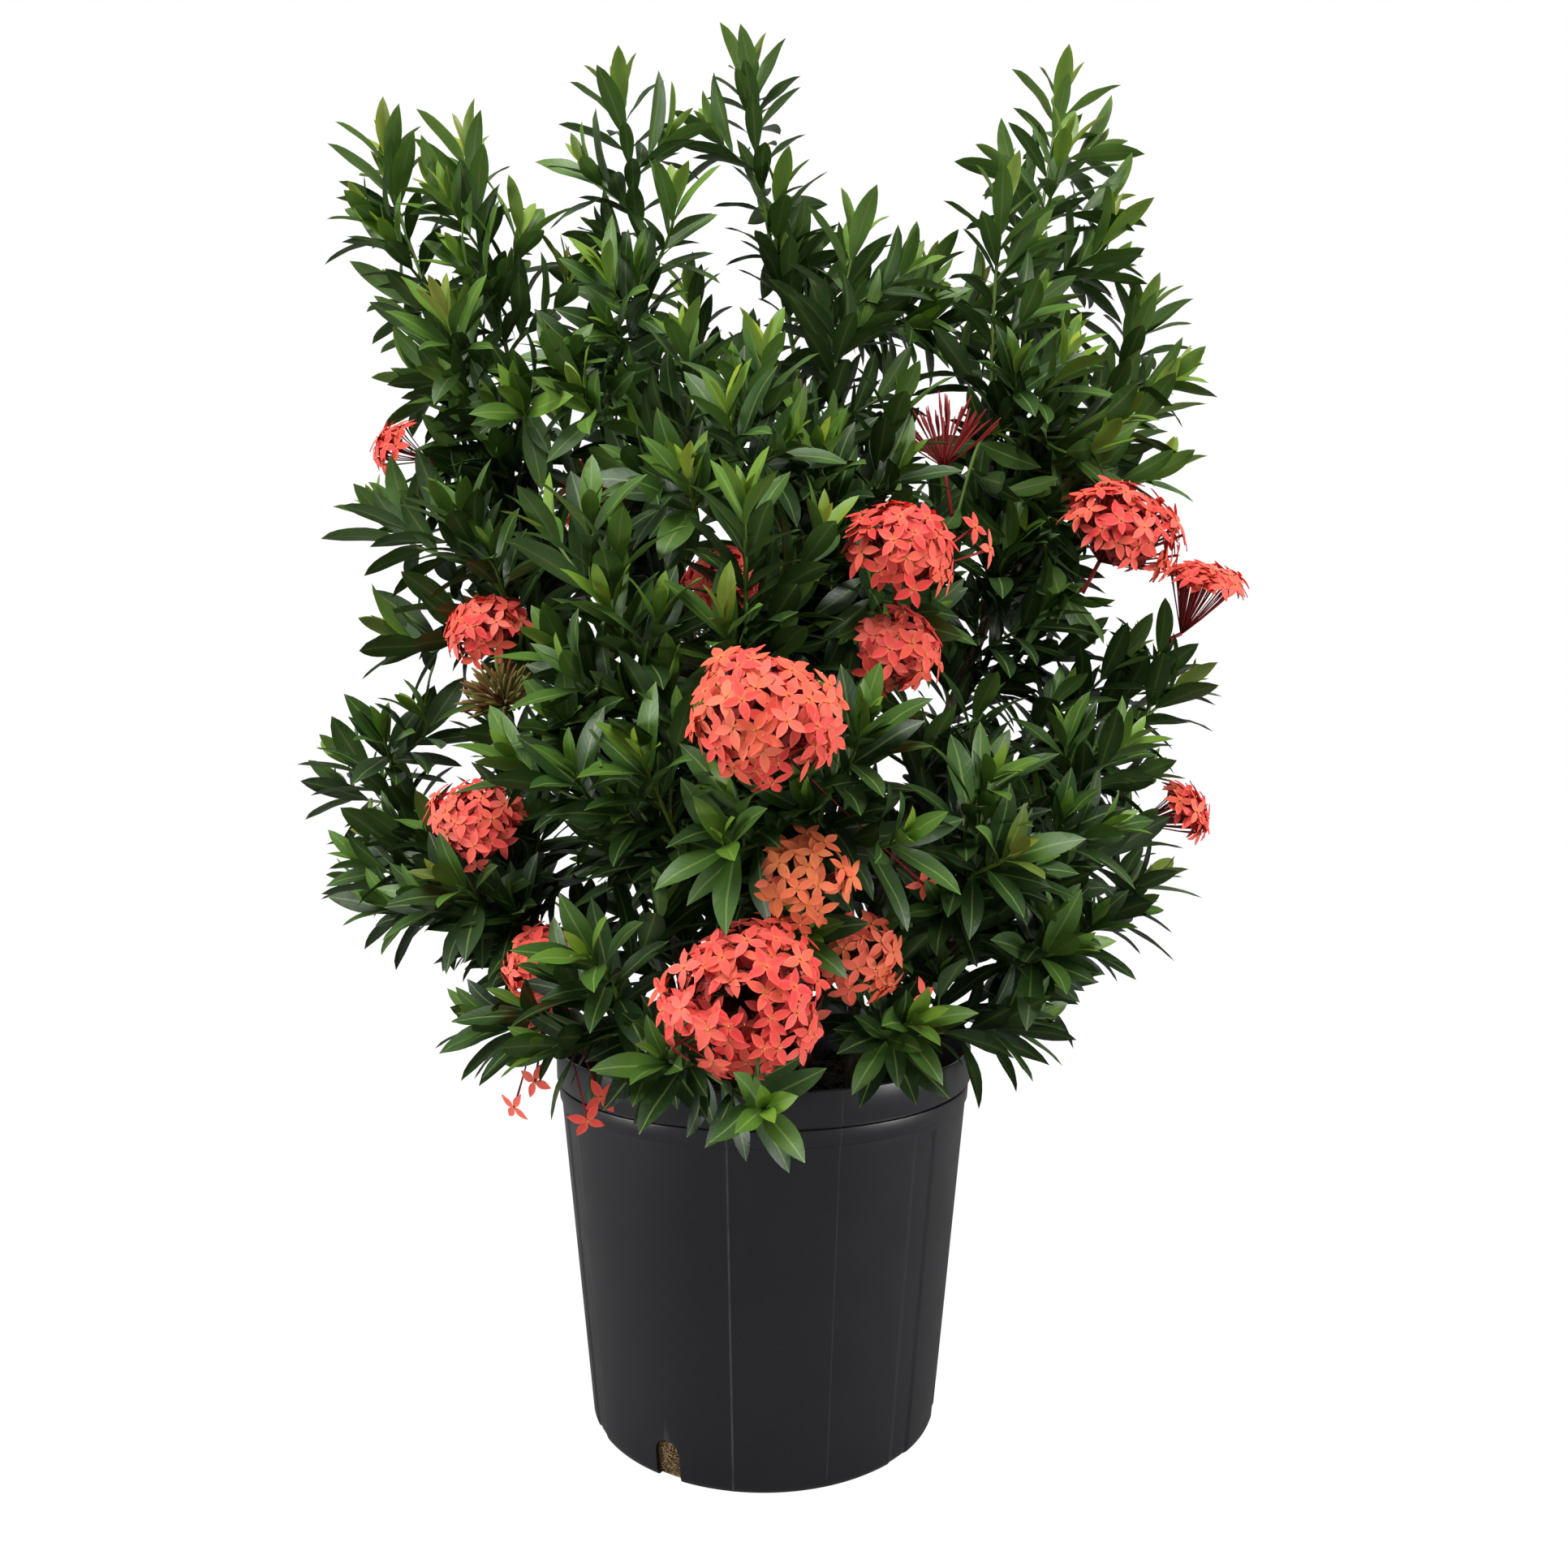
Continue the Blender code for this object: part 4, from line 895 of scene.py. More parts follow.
# %% Bark material and woody stems
bark = Finish("bark", 0.85, 0.2)
stretched = bark.add("Mapping")
stretched.inputs["Scale"].default_value = (1.0, 1.0, 0.25)
bark.put(bark.add("TexCoord").outputs["Object"], stretched.inputs["Vector"])
grain = bark.noise(260.0, 5.0, stretched.outputs["Vector"])
brown = bark.ramp(
    grain,
    (0.30, (0.030, 0.021, 0.013)),
    (0.52, (0.085, 0.060, 0.038)),
    (0.72, (0.20, 0.165, 0.12)),
)
bark.put(brown, bark.inputs["Base Color"])
bark.bump(grain, 0.8, 0.0012)

for name, curves in wood_curves.items():
    gather = Gather()
    for curve, first, last in curves:
        steps = np.linspace(0.0, 1.0, len(curve))
        radii = (first + (last - first) * steps) * (1.0 + 0.05 * np.sin(steps * 60.0))
        add_tube(gather, curve, radii, 12, (0.5, 0.5, 0.0, 1.0))
    piece = gather.build(name.replace("woody_stem", "bark"), bark.material)
    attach(piece, "root")
    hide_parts(name)
print("woody stems", len(wood_curves))

# %% [markdown]
# A floret is a thin tube that opens into four pointed petals about a golden throat. Petals are coral red, a
# little lighter along their edges, and turn orange with age. The tint attribute carries which part a point
# belongs to, with painted shade for the petals of a head's inner layer in the same value, its floret's random
# number and its age.

# %% Petal material
petal = Finish("petal", 0.55, 0.25)
tube_and_painted_shade, own_number, age = petal.tint()
along, across, beneath = petal.place()
fresh = petal.ramp(
    own_number,
    (0.0, (0.82, 0.050, 0.050)),
    (0.5, (0.97, 0.095, 0.078)),
    (1.0, (1.0, 0.175, 0.130)),
)
aged = petal.mix(age, fresh, (0.88, 0.25, 0.08))
throat = petal.fade(along, 0.26)
golden = petal.mix(petal.math("MULTIPLY", throat, 0.7), aged, (0.86, 0.30, 0.06))
edge = petal.math("POWER", petal.math("ABSOLUTE", across), 3.0)
edged = petal.mix(petal.math("MULTIPLY", edge, 0.22), golden, (0.98, 0.30, 0.24))
# the tube's dark red, mixed into the petals of a head's inner layer, is painted shade there
petal.put(petal.mix(tube_and_painted_shade, edged, (0.26, 0.020, 0.022)), petal.inputs["Base Color"])
rough = petal.math("MULTIPLY_ADD", petal.noise(300.0), 0.2, 0.42)
petal.put(rough, petal.inputs["Roughness"])
petal.bump(petal.noise(700.0), 0.3, 0.0004)
petal.blend_with("BsdfTranslucent", "Color", edged, 0.16)

# %% [markdown]
# A spent head has dropped its petals. The stubs run from brown to olive, one random number to each, so a
# ramp on that number colours them.

# %% Spent flower material
spent = Finish("spent", 0.8, 0.2)
faded = spent.ramp(
    spent.tint()[1],
    (0.0, (0.10, 0.035, 0.012)),
    (0.5, (0.16, 0.10, 0.025)),
    (1.0, (0.13, 0.15, 0.035)),
)
spent.put(faded, spent.inputs["Base Color"])
spent.bump(spent.noise(500.0), 0.5, 0.0004)

# %% [markdown]
# The four petals lie square to the tube, but each is turned, tilted and curled a little on its own. The
# light and shade between uneven petals is what makes a head look soft.

# %% Floret shape
PETAL_LENGTH = 0.0110
PETAL_HALF_WIDTH = 0.0026
PETAL_THICKNESS = 0.0002
PETAL_CUP = 0.0004
TUBE_RADII = np.array([0.00050, 0.00045, 0.00050, 0.0010])
TUBE_SAG = 0.0012
STAMEN_LENGTH = 0.0016
STAMEN_RADII = np.array([0.0006, 0.0004])
FLORET_BLOCKS = 6
GOLDEN_ANGLE = 2.39996
petal_blade = blade_grid(np.linspace(0.06, 0.97, 5))
petal_outline = np.sin(math.pi * petal_blade[0] ** 0.85) ** 0.9


def square_pair(direction):
    """Two directions square to a direction and to each other."""
    sideways = unit(np.cross(direction, (0.21, 0.33, 0.92)))
    return sideways, np.cross(direction, sideways)


def add_petal(gather, root, direction, face, length, tint, droop):
    """Add one petal, cupped and curled down to its tip, of half width w(u) = sin(pi u^0.85)^0.9."""
    u, s, beneath, faces = petal_blade
    half = petal_outline * PETAL_HALF_WIDTH * (length / PETAL_LENGTH)
    lift = PETAL_CUP * np.abs(s) - droop * length * u ** 2 - beneath * PETAL_THICKNESS
    add_blade(gather, petal_blade, root, direction, face, length, half, lift, tint)


def add_floret(gather, root, place, facing, turn, size, old, shade=0.0):
    """Add a tube from root to place, four petals square to the facing direction, and a golden throat; shade
    mixes painted shade into the petals.
    """
    way = np.linspace(0.0, 1.0, 4)[:, None]
    mark = grow.random()
    path = root + (place - root) * way - UP * TUBE_SAG * np.sin(way * math.pi)
    add_tube(gather, path, TUBE_RADII * size, 4, (1.0, mark, old, 1.0))
    sideways, other = square_pair(facing)
    for quarter in range(4):
        angle = turn + quarter * math.pi / 2 + grow.uniform(-0.14, 0.14)
        out = math.cos(angle) * sideways + math.sin(angle) * other
        direction = unit(out + facing * grow.uniform(-0.05, 0.18))
        face = unit(facing - direction * float(np.dot(facing, direction)))
        length = PETAL_LENGTH * size * grow.uniform(0.9, 1.08)
        add_petal(gather, place, direction, face, length, (shade, mark, old, 1.0), grow.uniform(0.02, 0.24))
    path = np.stack([place, place + facing * STAMEN_LENGTH * size])
    add_tube(gather, path, STAMEN_RADII * size, 4, (0.0, mark, 1.0, 1.0))


def spread(count, facing, widest, jitter):
    """Directions spread evenly by the golden angle over a cap whose edge is widest degrees off its middle."""
    sideways, other = square_pair(facing)
    directions = []
    for i in range(count):
        cosine = 1.0 - (1.0 - math.cos(math.radians(widest))) * (i + 0.5) / count
        sine = math.sqrt(max(0.0, 1.0 - cosine * cosine))
        turn = i * GOLDEN_ANGLE + grow.uniform(-jitter, jitter)
        directions.append(unit(cosine * facing + sine * (math.cos(turn) * sideways + math.sin(turn) * other)))
    return directions


# %% [markdown]
# A full head is a dome of 40 to 100 florets whose tubes all rise from one short stalk. Behind them stands a
# second layer, its petals given painted shade, so that no daylight shows between the petals. Heads that are
# opening or thinning out are open sprays without that layer. The tables name what sets one head apart from
# the next.

# %% How the heads differ
HOLLOW = {"flower_head_bottom"}
# open sprays, whose tubes show: the spread in degrees, the share of florets, the way they fan
OPEN_SPRAYS = {
    "flower_head_right_spray": (58.0, 0.85, (0.25, -0.35, 0.9)),
    "flower_head_right_side": (60.0, 0.80, (0.85, -0.4, 0.35)),
    "flower_head_low_right": (74.0, 0.50, (0.35, -0.9, 0.15)),
    "flower_head_far_left": (70.0, 0.45, (-0.9, -0.4, 0.3)),
    "flower_head_orange": (80.0, 0.50, (0.2, -0.9, 0.25)),
}
# heads that are smaller than their CAD ball or stand a little off it: size share and shift in centimetres
TRIMMED = {
    "flower_head_centre": (0.91, (0, 0, 0)),
    "flower_head_upper_right": (0.85, (-0.6, 0, 0)),
    "flower_head_shaded": (0.95, (0.3, -2.0, 1.0)),
    "flower_head_left_small": (0.88, (0, 0, 0)),
    "flower_head_left_low": (0.78, (0.2, 0, -1.8)),
    "bud_cluster_right": (1.0, (-0.6, 0, 1.8)),
    "bud_cluster_left": (1.0, (0, 0, 1.2)),
}
# loose florets that hang away from their head: where each opens and the way it faces
STRAYS = {
    "flower_head_low_left": [
        ((-14.4, -12, 23.0), (-0.5, -0.8, -0.3)),
        ((-13.2, -12, 24.5), (-0.3, -0.9, 0.1)),
        ((-9.6, -16, 23.4), (0.2, -0.9, -0.2)),
        ((-9.0, -15, 24.4), (0.4, -0.9, 0.1)),
        ((-13.6, -11, 27.5), (-0.7, -0.6, 0.2)),
        ((-12.0, -12, 29.0), (0.1, -0.9, 0.3)),
    ],
    "flower_head_upper_right": [((11.6, -15, 55.8), (0.6, -0.7, 0.2)), ((12.4, -15, 54.6), (0.8, -0.5, 0.1))],
    "flower_head_low_right": [((8.8, -15, 30.0), (0.6, -0.8, 0.1)), ((2.6, -17, 29.2), (0.0, -0.9, 0.2))],
    "flower_head_centre": [((8.8, -15, 36.2), (0.3, -0.8, -0.4))],
}
ORANGE = {"flower_head_orange": 0.75, "flower_head_low_right": 0.35, "flower_head_centre": 0.18}

# %% [markdown]
# Florets are spread over the ball by the golden angle, which leaves neither rows nor gaps, and then shaken
# a little. Two slow waves round the head keep its outline from being a circle.

# %% Domes of florets
FULL_CAP = 98.0
FEWEST_FLORETS = 18
FLORETS_PER_CM2 = 5.6
INNER_SHARE = 0.7
INNER_OVERHANG = 12.0
INNER_SHADE = 0.72
QUARTER_TURN = 1.57


def add_dome(gather, name, knot, centre, facing, radius):
    """Florets over a cap of the head's ball, with a reach r(a) = R (1 + 0.08 sin(2a + p) + 0.06 sin(3a + q)).

    The angle a goes round the line of sight, and p and q are drawn for each head.
    """
    cap, fullness, fan = OPEN_SPRAYS.get(name, (FULL_CAP, 1.0, facing))
    count = int((FEWEST_FLORETS + (radius / CM) ** 2 * FLORETS_PER_CM2) * fullness)
    inner = 0 if name in OPEN_SPRAYS else int(count * INNER_SHARE)
    lobes = [grow.uniform(0.0, 6.3), grow.uniform(0.0, 6.3)]
    if name in OPEN_SPRAYS:
        facing = unit(fan)
        centre = knot + facing * radius * 0.85
    for way in spread(inner, facing, cap + INNER_OVERHANG, 0.5):
        if name in HOLLOW and float(np.dot(way, facing)) > 0.93:
            continue
        place = centre + way * radius * grow.uniform(0.58, 0.74)
        turn = grow.uniform(0.0, QUARTER_TURN)
        # the petals of this inner layer carry painted shade: INNER_SHADE of the tube's dark red
        add_floret(gather, knot + way * 0.001, place, way, turn, 0.92, 0.0, INNER_SHADE)
    for way in spread(count, facing, cap, 0.5):
        if name in HOLLOW and float(np.dot(way, facing)) > 0.95:
            continue
        around = math.atan2(way[2], way[0])
        lobe = 1.0 + 0.08 * math.sin(2.0 * around + lobes[0]) + 0.06 * math.sin(3.0 * around + lobes[1])
        place = centre + way * (radius * lobe * grow.uniform(0.86, 1.08))
        outward = unit(way + facing * 0.35 + np.array([grow.uniform(-0.22, 0.22) for _ in range(3)]))
        old = clamped(ORANGE.get(name, 0.0) + grow.uniform(-0.25, 0.30))
        turn = grow.uniform(0.0, QUARTER_TURN)
        add_floret(gather, knot + way * 0.001, place, outward, turn, grow.uniform(0.9, 1.06), old)
    for place, outward in STRAYS.get(name, ()):
        turn = grow.uniform(0.0, QUARTER_TURN)
        add_floret(gather, knot, np.array(place) * CM, unit(outward), turn, 1.0, 0.1)


# %% [markdown]
# Buds are longer, dark red needles with a slight club at the end, and a spent head keeps brown and olive
# stubs. Both are the same fan of thin tubes with other numbers.

# %% Fans of needles
SPIKE_RADII = np.array([0.0004, 0.00042, 0.00045, 0.0006, 0.0010, 0.0003])
# how many, the spread in degrees, the jitter of their reach in head radii, how thick
SPIKES = {
    "needles": (40, 58.0, (1.4, 1.85), 1.0),
    "spent": (80, 85.0, (0.85, 1.2), 1.3),
}


def add_spikes(gather, kind, knot, facing, radius):
    """Tubes from the knot along evenly spread directions, each with a slight curl of half a sine wave."""
    count, widest, reaches, thickness = SPIKES[kind]
    steps = np.linspace(0.0, 1.0, len(SPIKE_RADII))
    for way in spread(count, facing, widest, 0.4):
        reach = radius * grow.uniform(*reaches)
        curl = np.array([grow.uniform(-1, 1) for _ in range(3)]) * 0.0012
        path = knot + way * reach * steps[:, None] + curl * np.sin(steps * math.pi)[:, None]
        add_tube(gather, path, SPIKE_RADII * thickness, 6, (1.0, grow.random(), 0.0, 1.0))


# %% [markdown]
# Each head sits on a stalk that starts a hair's gap from its shoot. The knot, where all the tubes meet,
# lies behind the middle of the ball.

# %% Flower heads, bud clusters and the spent head
STALK_RADIUS = 0.0013
STALK_LEAD = 0.003
floret_total = 0
for name, (kind, shoot, centre, facing, radius) in BLOOMS.items():
    share, shift = TRIMMED.get(name, (1.0, (0, 0, 0)))
    centre = (np.array(centre) + np.array(shift)) * CM
    facing = unit(facing)
    radius = radius * CM * share
    foot, heading = bloom_feet[name]
    start = foot + heading * FIT_GAP
    knot = centre - facing * radius * (0.55 if kind == "stars" and name not in OPEN_SPRAYS else 0.85)
    gather = Gather()
    stalk = np.stack([start, start + heading * STALK_LEAD, knot])
    add_tube(gather, stalk, np.full(3, STALK_RADIUS), 8, (1.0, 0.4, 0.2, 1.0))
    if kind == "stars":
        add_dome(gather, name, knot, centre, facing, radius)
        floret_total += len(gather.blocks) // FLORET_BLOCKS
    else:
        add_spikes(gather, kind, knot, facing, radius)
    finish = spent if kind == "spent" else petal
    piece = gather.build(name + "_florets", finish.material)
    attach(piece, "root")
    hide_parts(name)
print("florets", floret_total)

# %% [markdown]
# The pot is moulded in black plastic with a soft shine. Fine pale dust lies in its grain, and its edges are
# painted a little lighter, partly as wear and partly as a painted highlight on the rim's steps. A thin pale
# line is painted along the parting seam on two sides as a painted highlight on the seam's ridge, with a
# fainter one beside it in front. Each line is drawn where a point's distance from a plane through the pot's
# axis is small.

# %% Pot material
SEAM_AZIMUTH = -9.0
FINE_LINE_AZIMUTH = 19.0
plastic = Finish("pot_plastic", 0.36, 0.34)
speckle = plastic.noise(1600.0, 2.0)
black = plastic.ramp(
    plastic.noise(9.0, 4.0),
    (0.3, (0.0056, 0.0058, 0.0076)),
    (0.7, (0.0088, 0.0091, 0.0115)),
)
paint = plastic.mix(plastic.over(speckle, 0.62, 2.6), black, (0.038, 0.039, 0.042))
# lighter edges: partly wear, partly a painted highlight along the rim's steps
edge_wear_and_highlight = plastic.over(plastic.add("NewGeometry").outputs["Pointiness"], 0.53, 6.0)
paint = plastic.mix(plastic.math("MINIMUM", edge_wear_and_highlight, 0.5), paint, (0.040, 0.041, 0.045))
spot = plastic.add("TexCoord").outputs["Object"]
# where each painted highlight line along a seam runs, its half width and its strength
painted_seam_highlights = [
    (SEAM_AZIMUTH, 0.0009, 0.85),
    (SEAM_AZIMUTH + 180.0, 0.0009, 0.85),
    (FINE_LINE_AZIMUTH, 0.0006, 0.35),
]
for azimuth, half_width, strength in painted_seam_highlights:
    turn = math.radians(azimuth)
    off_line = plastic.math("ABSOLUTE", plastic.dot(spot, (math.cos(turn), math.sin(turn), 0.0)))
    in_front = plastic.dot(spot, (math.sin(turn), -math.cos(turn), 0.0))
    in_front = plastic.math("GREATER_THAN", in_front, 0.0)
    # each pale line is a painted highlight on the ridge of a seam
    line = plastic.math("MULTIPLY", plastic.fade(off_line, half_width), in_front)
    line = plastic.math("MULTIPLY", plastic.math("MULTIPLY", line, strength), plastic.noise(90.0, 5.0))
    paint = plastic.mix(line, paint, (0.10, 0.105, 0.115))
plastic.put(paint, plastic.inputs["Base Color"])
scuff = plastic.noise(38.0, 6.0)
plastic.put(plastic.math("MULTIPLY_ADD", scuff, 0.20, 0.27), plastic.inputs["Roughness"])
plastic.bump(plastic.math("ADD", speckle, plastic.math("MULTIPLY", scuff, 0.6)), 0.12, 0.0005)

# %% [markdown]
# The pot's shell is turned: a profile of radius and height goes round the axis. Its radius also depends on
# the azimuth, so that four shallow grooves run down the wall and a thin seam stands proud of it.

# %% Profile of the pot
RIM_LOW = 0.2226
BAND_RADIUS = 0.1363
BAND_LOW = 0.2104
WALL_TOP_RADIUS = 0.1345
WALL_FOOT_RADIUS = 0.1136
WALL = 0.0026
FLOOR = 0.0035
GROOVE_TOP = 0.206
# corners in millimetres out and up: about the rim's top, the step below the rim and the band's lower edge
RIM_CORNERS = [(-3.6, -4.0), (-3.2, -0.8), (-2.6, -0.2), (-2.0, 0.0), (-0.9, 0.0), (-0.3, -0.3), (0.0, -1.2)]
RIM_CORNERS += [(0.0, -8.0)]
STEP_CORNERS = [(1.4, 1.0), (0.9, 0.0), (-1.8, -0.4), (-1.8, -2.0), (-0.3, -2.4), (0.0, -3.2)]
BAND_CORNERS = [(-0.6, 1.0), (-1.0, 0.2), (-2.0, -0.8)]
wall_slope = (WALL_TOP_RADIUS - WALL_FOOT_RADIUS) / BAND_LOW


def wall_radius(height):
    """Outer radius of the plain wall at a height."""
    return WALL_FOOT_RADIUS + wall_slope * height


def corners(radius, height, steps):
    """Points of the profile at millimetre steps from a corner."""
    return [(radius + out / 1000, height + up / 1000, 0) for out, up in steps]


pot_profile = [(wall_radius(FLOOR) - WALL - 0.003, FLOOR, 0), (wall_radius(FLOOR) - WALL, FLOOR + 0.003, 0)]
pot_profile += [(wall_radius(z) - WALL, z, 0) for z in np.linspace(0.03, BAND_LOW, 9)]
pot_profile += corners(RIM_RADIUS, POT_HEIGHT, RIM_CORNERS)
pot_profile += corners(BAND_RADIUS, RIM_LOW, STEP_CORNERS)
pot_profile += corners(BAND_RADIUS, BAND_LOW, BAND_CORNERS)
pot_profile += [(wall_radius(GROOVE_TOP + 0.0008), GROOVE_TOP + 0.0008, 0)]
marked_heights = [GROOVE_TOP - 0.0006, *np.linspace(0.19, 0.008, 16), 0.004]
pot_profile += [(wall_radius(z), z, 1) for z in marked_heights]
pot_profile += [(WALL_FOOT_RADIUS - 0.0006, 0.0014, 1), (WALL_FOOT_RADIUS - 0.0022, 0.0002, 0.6)]
pot_profile += [(WALL_FOOT_RADIUS - 0.0036, 0.0, 0)]

# %% Shell of the pot
POT_STEPS = 540
GROOVE_AZIMUTHS = [47.0, 115.0, -133.0, -65.0]
GROOVE_WIDTH = 0.018
GROOVE_DEPTH = 0.0009
GROOVE_SIDE = 4.5
SEAM_PROUD = 0.00045
EDGE_PROUD = 0.00035
FINE_PROUD = 0.00012


def near(azimuths, targets, width, soft):
    """1 on the wall within half the width of any target azimuth, easing to 0 over soft metres."""
    total = 0.0
    for target in targets:
        off = np.abs(np.radians((azimuths - target + 180.0) % 360.0 - 180.0)) * 0.125
        total = total + np.clip((width / 2 + soft - off) / soft, 0.0, 1.0)
    return total


def object_from(name, vertices, faces, material=None):
    """A mesh object with its faces turned outward and one material."""
    mesh = bpy.data.meshes.new(name)
    mesh.from_pydata([tuple(v) for v in vertices], [], faces)
    work = bmesh.new()
    work.from_mesh(mesh)
    bmesh.ops.recalc_face_normals(work, faces=work.faces)
    work.to_mesh(mesh)
    work.free()
    if material is not None:
        mesh.materials.append(material)
    return new_object(name, mesh)


azimuths = np.linspace(-180.0, 180.0, POT_STEPS, endpoint=False)[None]
radius, height, marked = (column[:, None] for column in np.array(pot_profile).T)
proud = SEAM_PROUD * near(azimuths, (SEAM_AZIMUTH, SEAM_AZIMUTH + 180.0), 0.0008, 0.0007)
proud = proud + EDGE_PROUD * near(azimuths, [a + GROOVE_SIDE for a in GROOVE_AZIMUTHS], 0.0006, 0.0007)
proud = proud + FINE_PROUD * near(azimuths, [FINE_LINE_AZIMUTH], 0.0003, 0.0006)
proud = proud - GROOVE_DEPTH * near(azimuths, GROOVE_AZIMUTHS, GROOVE_WIDTH, 0.0008)
reach = radius + marked * proud
turns = np.radians(azimuths)
grid = np.stack([reach * np.sin(turns), -reach * np.cos(turns), height + 0 * turns], axis=-1)
points = np.concatenate([grid.reshape(-1, 3), [(0.0, 0.0, FLOOR), (0.0, 0.0, 0.0)]])
pot = object_from("pot_shell", points, skin_faces(len(pot_profile), POT_STEPS), plastic.material)
print("pot points", len(points))

# %% [markdown]
# Four slots at the foot let the water out. Their arched edges cross the shell's grid of points, so they are
# cut from the finished shell with a boolean.

# %% Drainage slots
SLOT_AZIMUTHS = [-30.0, 77.0, 150.0, 257.0]
SLOT_WIDTH = 0.017
SLOT_HEIGHT = 0.025
SLOT_INNER = 0.1045
SLOT_OUTER = 0.130
OVERSHOOT = 0.004


def slot_block(azimuth):
    """The space of one drainage slot: an upside-down U, open at the underside."""
    half = SLOT_WIDTH / 2
    outline = [(-half, -OVERSHOOT), (half, -OVERSHOOT)]
    for angle in np.linspace(0.0, math.pi, 13):
        outline.append((half * math.cos(angle), SLOT_HEIGHT - half + half * math.sin(angle)))
    count = len(outline)
    vertices = [(x, -depth, z) for depth in (SLOT_OUTER, SLOT_INNER) for x, z in outline]
    sides = [tuple(range(count)), tuple(reversed(range(count, 2 * count)))]
    sides += [(i, i + count, (i + 1) % count + count, (i + 1) % count) for i in range(count)]
    block = object_from("slot", vertices, sides)
    block.data.transform(Matrix.Rotation(math.radians(azimuth), 4, "Z"))
    return block


for azimuth in SLOT_AZIMUTHS:
    block = slot_block(azimuth)
    cut = pot.modifiers.new("slot", "BOOLEAN")
    cut.object = block
    cut.operation = "DIFFERENCE"
    cut.solver = "EXACT"
    depsgraph = bpy.context.evaluated_depsgraph_get()
    mesh = bpy.data.meshes.new_from_object(pot.evaluated_get(depsgraph))
    pot.modifiers.clear()
    pot.data = mesh
    bpy.data.objects.remove(block)
pot.data.polygons.foreach_set("use_smooth", [True] * len(pot.data.polygons))
pot.data.set_sharp_from_angle(angle=math.radians(38.0))
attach(pot, "root")
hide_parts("pot")
print("pot faces", len(pot.data.polygons))

# %% [markdown]
# The potting mix shows at the top between the stems and, as a mat of pale roots, behind the drainage slots.
# One lumpy plug fills the pot; bark chips lie on it and thin roots cross the slots.

# %% Potting mix material
soil = Finish("potting_mix", 0.95, 0.15)
lumps = soil.noise(160.0, 6.0)
fibre = soil.noise(900.0, 4.0)
earth = soil.ramp(
    lumps,
    (0.35, (0.010, 0.007, 0.005)),
    (0.55, (0.040, 0.025, 0.015)),
    (0.75, (0.11, 0.07, 0.04)),
)
rooty = soil.ramp(fibre, (0.35, (0.09, 0.05, 0.022)), (0.65, (0.40, 0.27, 0.14)))
soil.put(soil.mix(soil.tint()[0], earth, rooty), soil.inputs["Base Color"])
soil.bump(soil.math("ADD", lumps, fibre), 0.9, 0.002)

# %% [markdown]
# The plug is turned like the pot. Two crossed waves make lumps on its top, and a tint marks its foot, where
# the roots are.

# %% Plug of potting mix
MIX_LOW = 0.0042
MIX_CROWN = 0.004
MIX_GAP = 0.001
MIX_STEPS = 120
ROOTY_BELOW = 0.06
gather = Gather()
mix_rows = [(wall_radius(z) - WALL - MIX_GAP, z) for z in (MIX_LOW, *np.linspace(0.03, MIX_TOP - 0.006, 8))]
mix_rows += [(r, MIX_TOP - MIX_CROWN * r / 0.13) for r in np.linspace(0.126, 0.006, 26)]
reach, level = (column[:, None] for column in np.array(mix_rows).T)
angles = np.linspace(0.0, 2 * math.pi, MIX_STEPS, endpoint=False)[None]
lump = np.sin(reach * 520 + 3.0 * np.sin(angles * 5)) * np.sin(angles * 17 + reach * 300)
on_top = (level > MIX_TOP - 0.0045) & (reach < 0.127)
level = level + np.where(on_top, 0.0012 * lump, 0.0)
grid = np.stack([reach * np.cos(angles), reach * np.sin(angles), level + 0 * angles], axis=-1)
points = np.concatenate([grid.reshape(-1, 3), [(0, 0, MIX_LOW), (0, 0, MIX_TOP)]])
tints = np.column_stack([points[:, 2] < ROOTY_BELOW, np.zeros((len(points), 3))])
gather.add(points, skin_faces(len(mix_rows), MIX_STEPS), tints, points)

# %% [markdown]
# Short tubes that taper to both ends, dropped flat on the mix at random turns, pass for chips of bark at
# this distance.

# %% Bark chips
CHIP_COUNT = 420
CHIP_PROFILE = np.array([0.5, 1.0, 0.6])
for chip in range(CHIP_COUNT):
    reach = 0.124 * math.sqrt(grow.random())
    turn = grow.uniform(0.0, 2 * math.pi)
    level = MIX_TOP + 0.0006 - MIX_CROWN * reach / 0.13
    spot = np.array((reach * math.cos(turn), reach * math.sin(turn), level))
    way = unit((grow.uniform(-1, 1), grow.uniform(-1, 1), grow.uniform(-0.25, 0.25)))
    half = way * grow.uniform(0.002, 0.006)
    size = grow.uniform(0.0008, 0.0020)
    path = np.stack([spot - half, spot, spot + half])
    add_tube(gather, path, CHIP_PROFILE * size, 5, (0.0, grow.random(), 0.0, 1.0))

# %% [markdown]
# Roots press against the wall from inside. Each is a thin tube that runs across a slot just behind the
# wall, and four thicker ones close the slot's foot.

# %% Roots behind the drainage slots
ROOTS_PER_SLOT = 52
ROOT_LEVELS = (0.0012, 0.024)
LOW_ROOT_LEVELS = (0.0012, 0.0026, 0.0040, 0.0054)
LOW_ROOT_BEHIND = 0.0032


def inside_wall(turns, levels, behind):
    """Points a distance behind the wall's inner face, at azimuths in radians and heights."""
    reach = wall_radius(levels) - WALL - behind
    return np.column_stack([reach * np.sin(turns), -reach * np.cos(turns), levels])


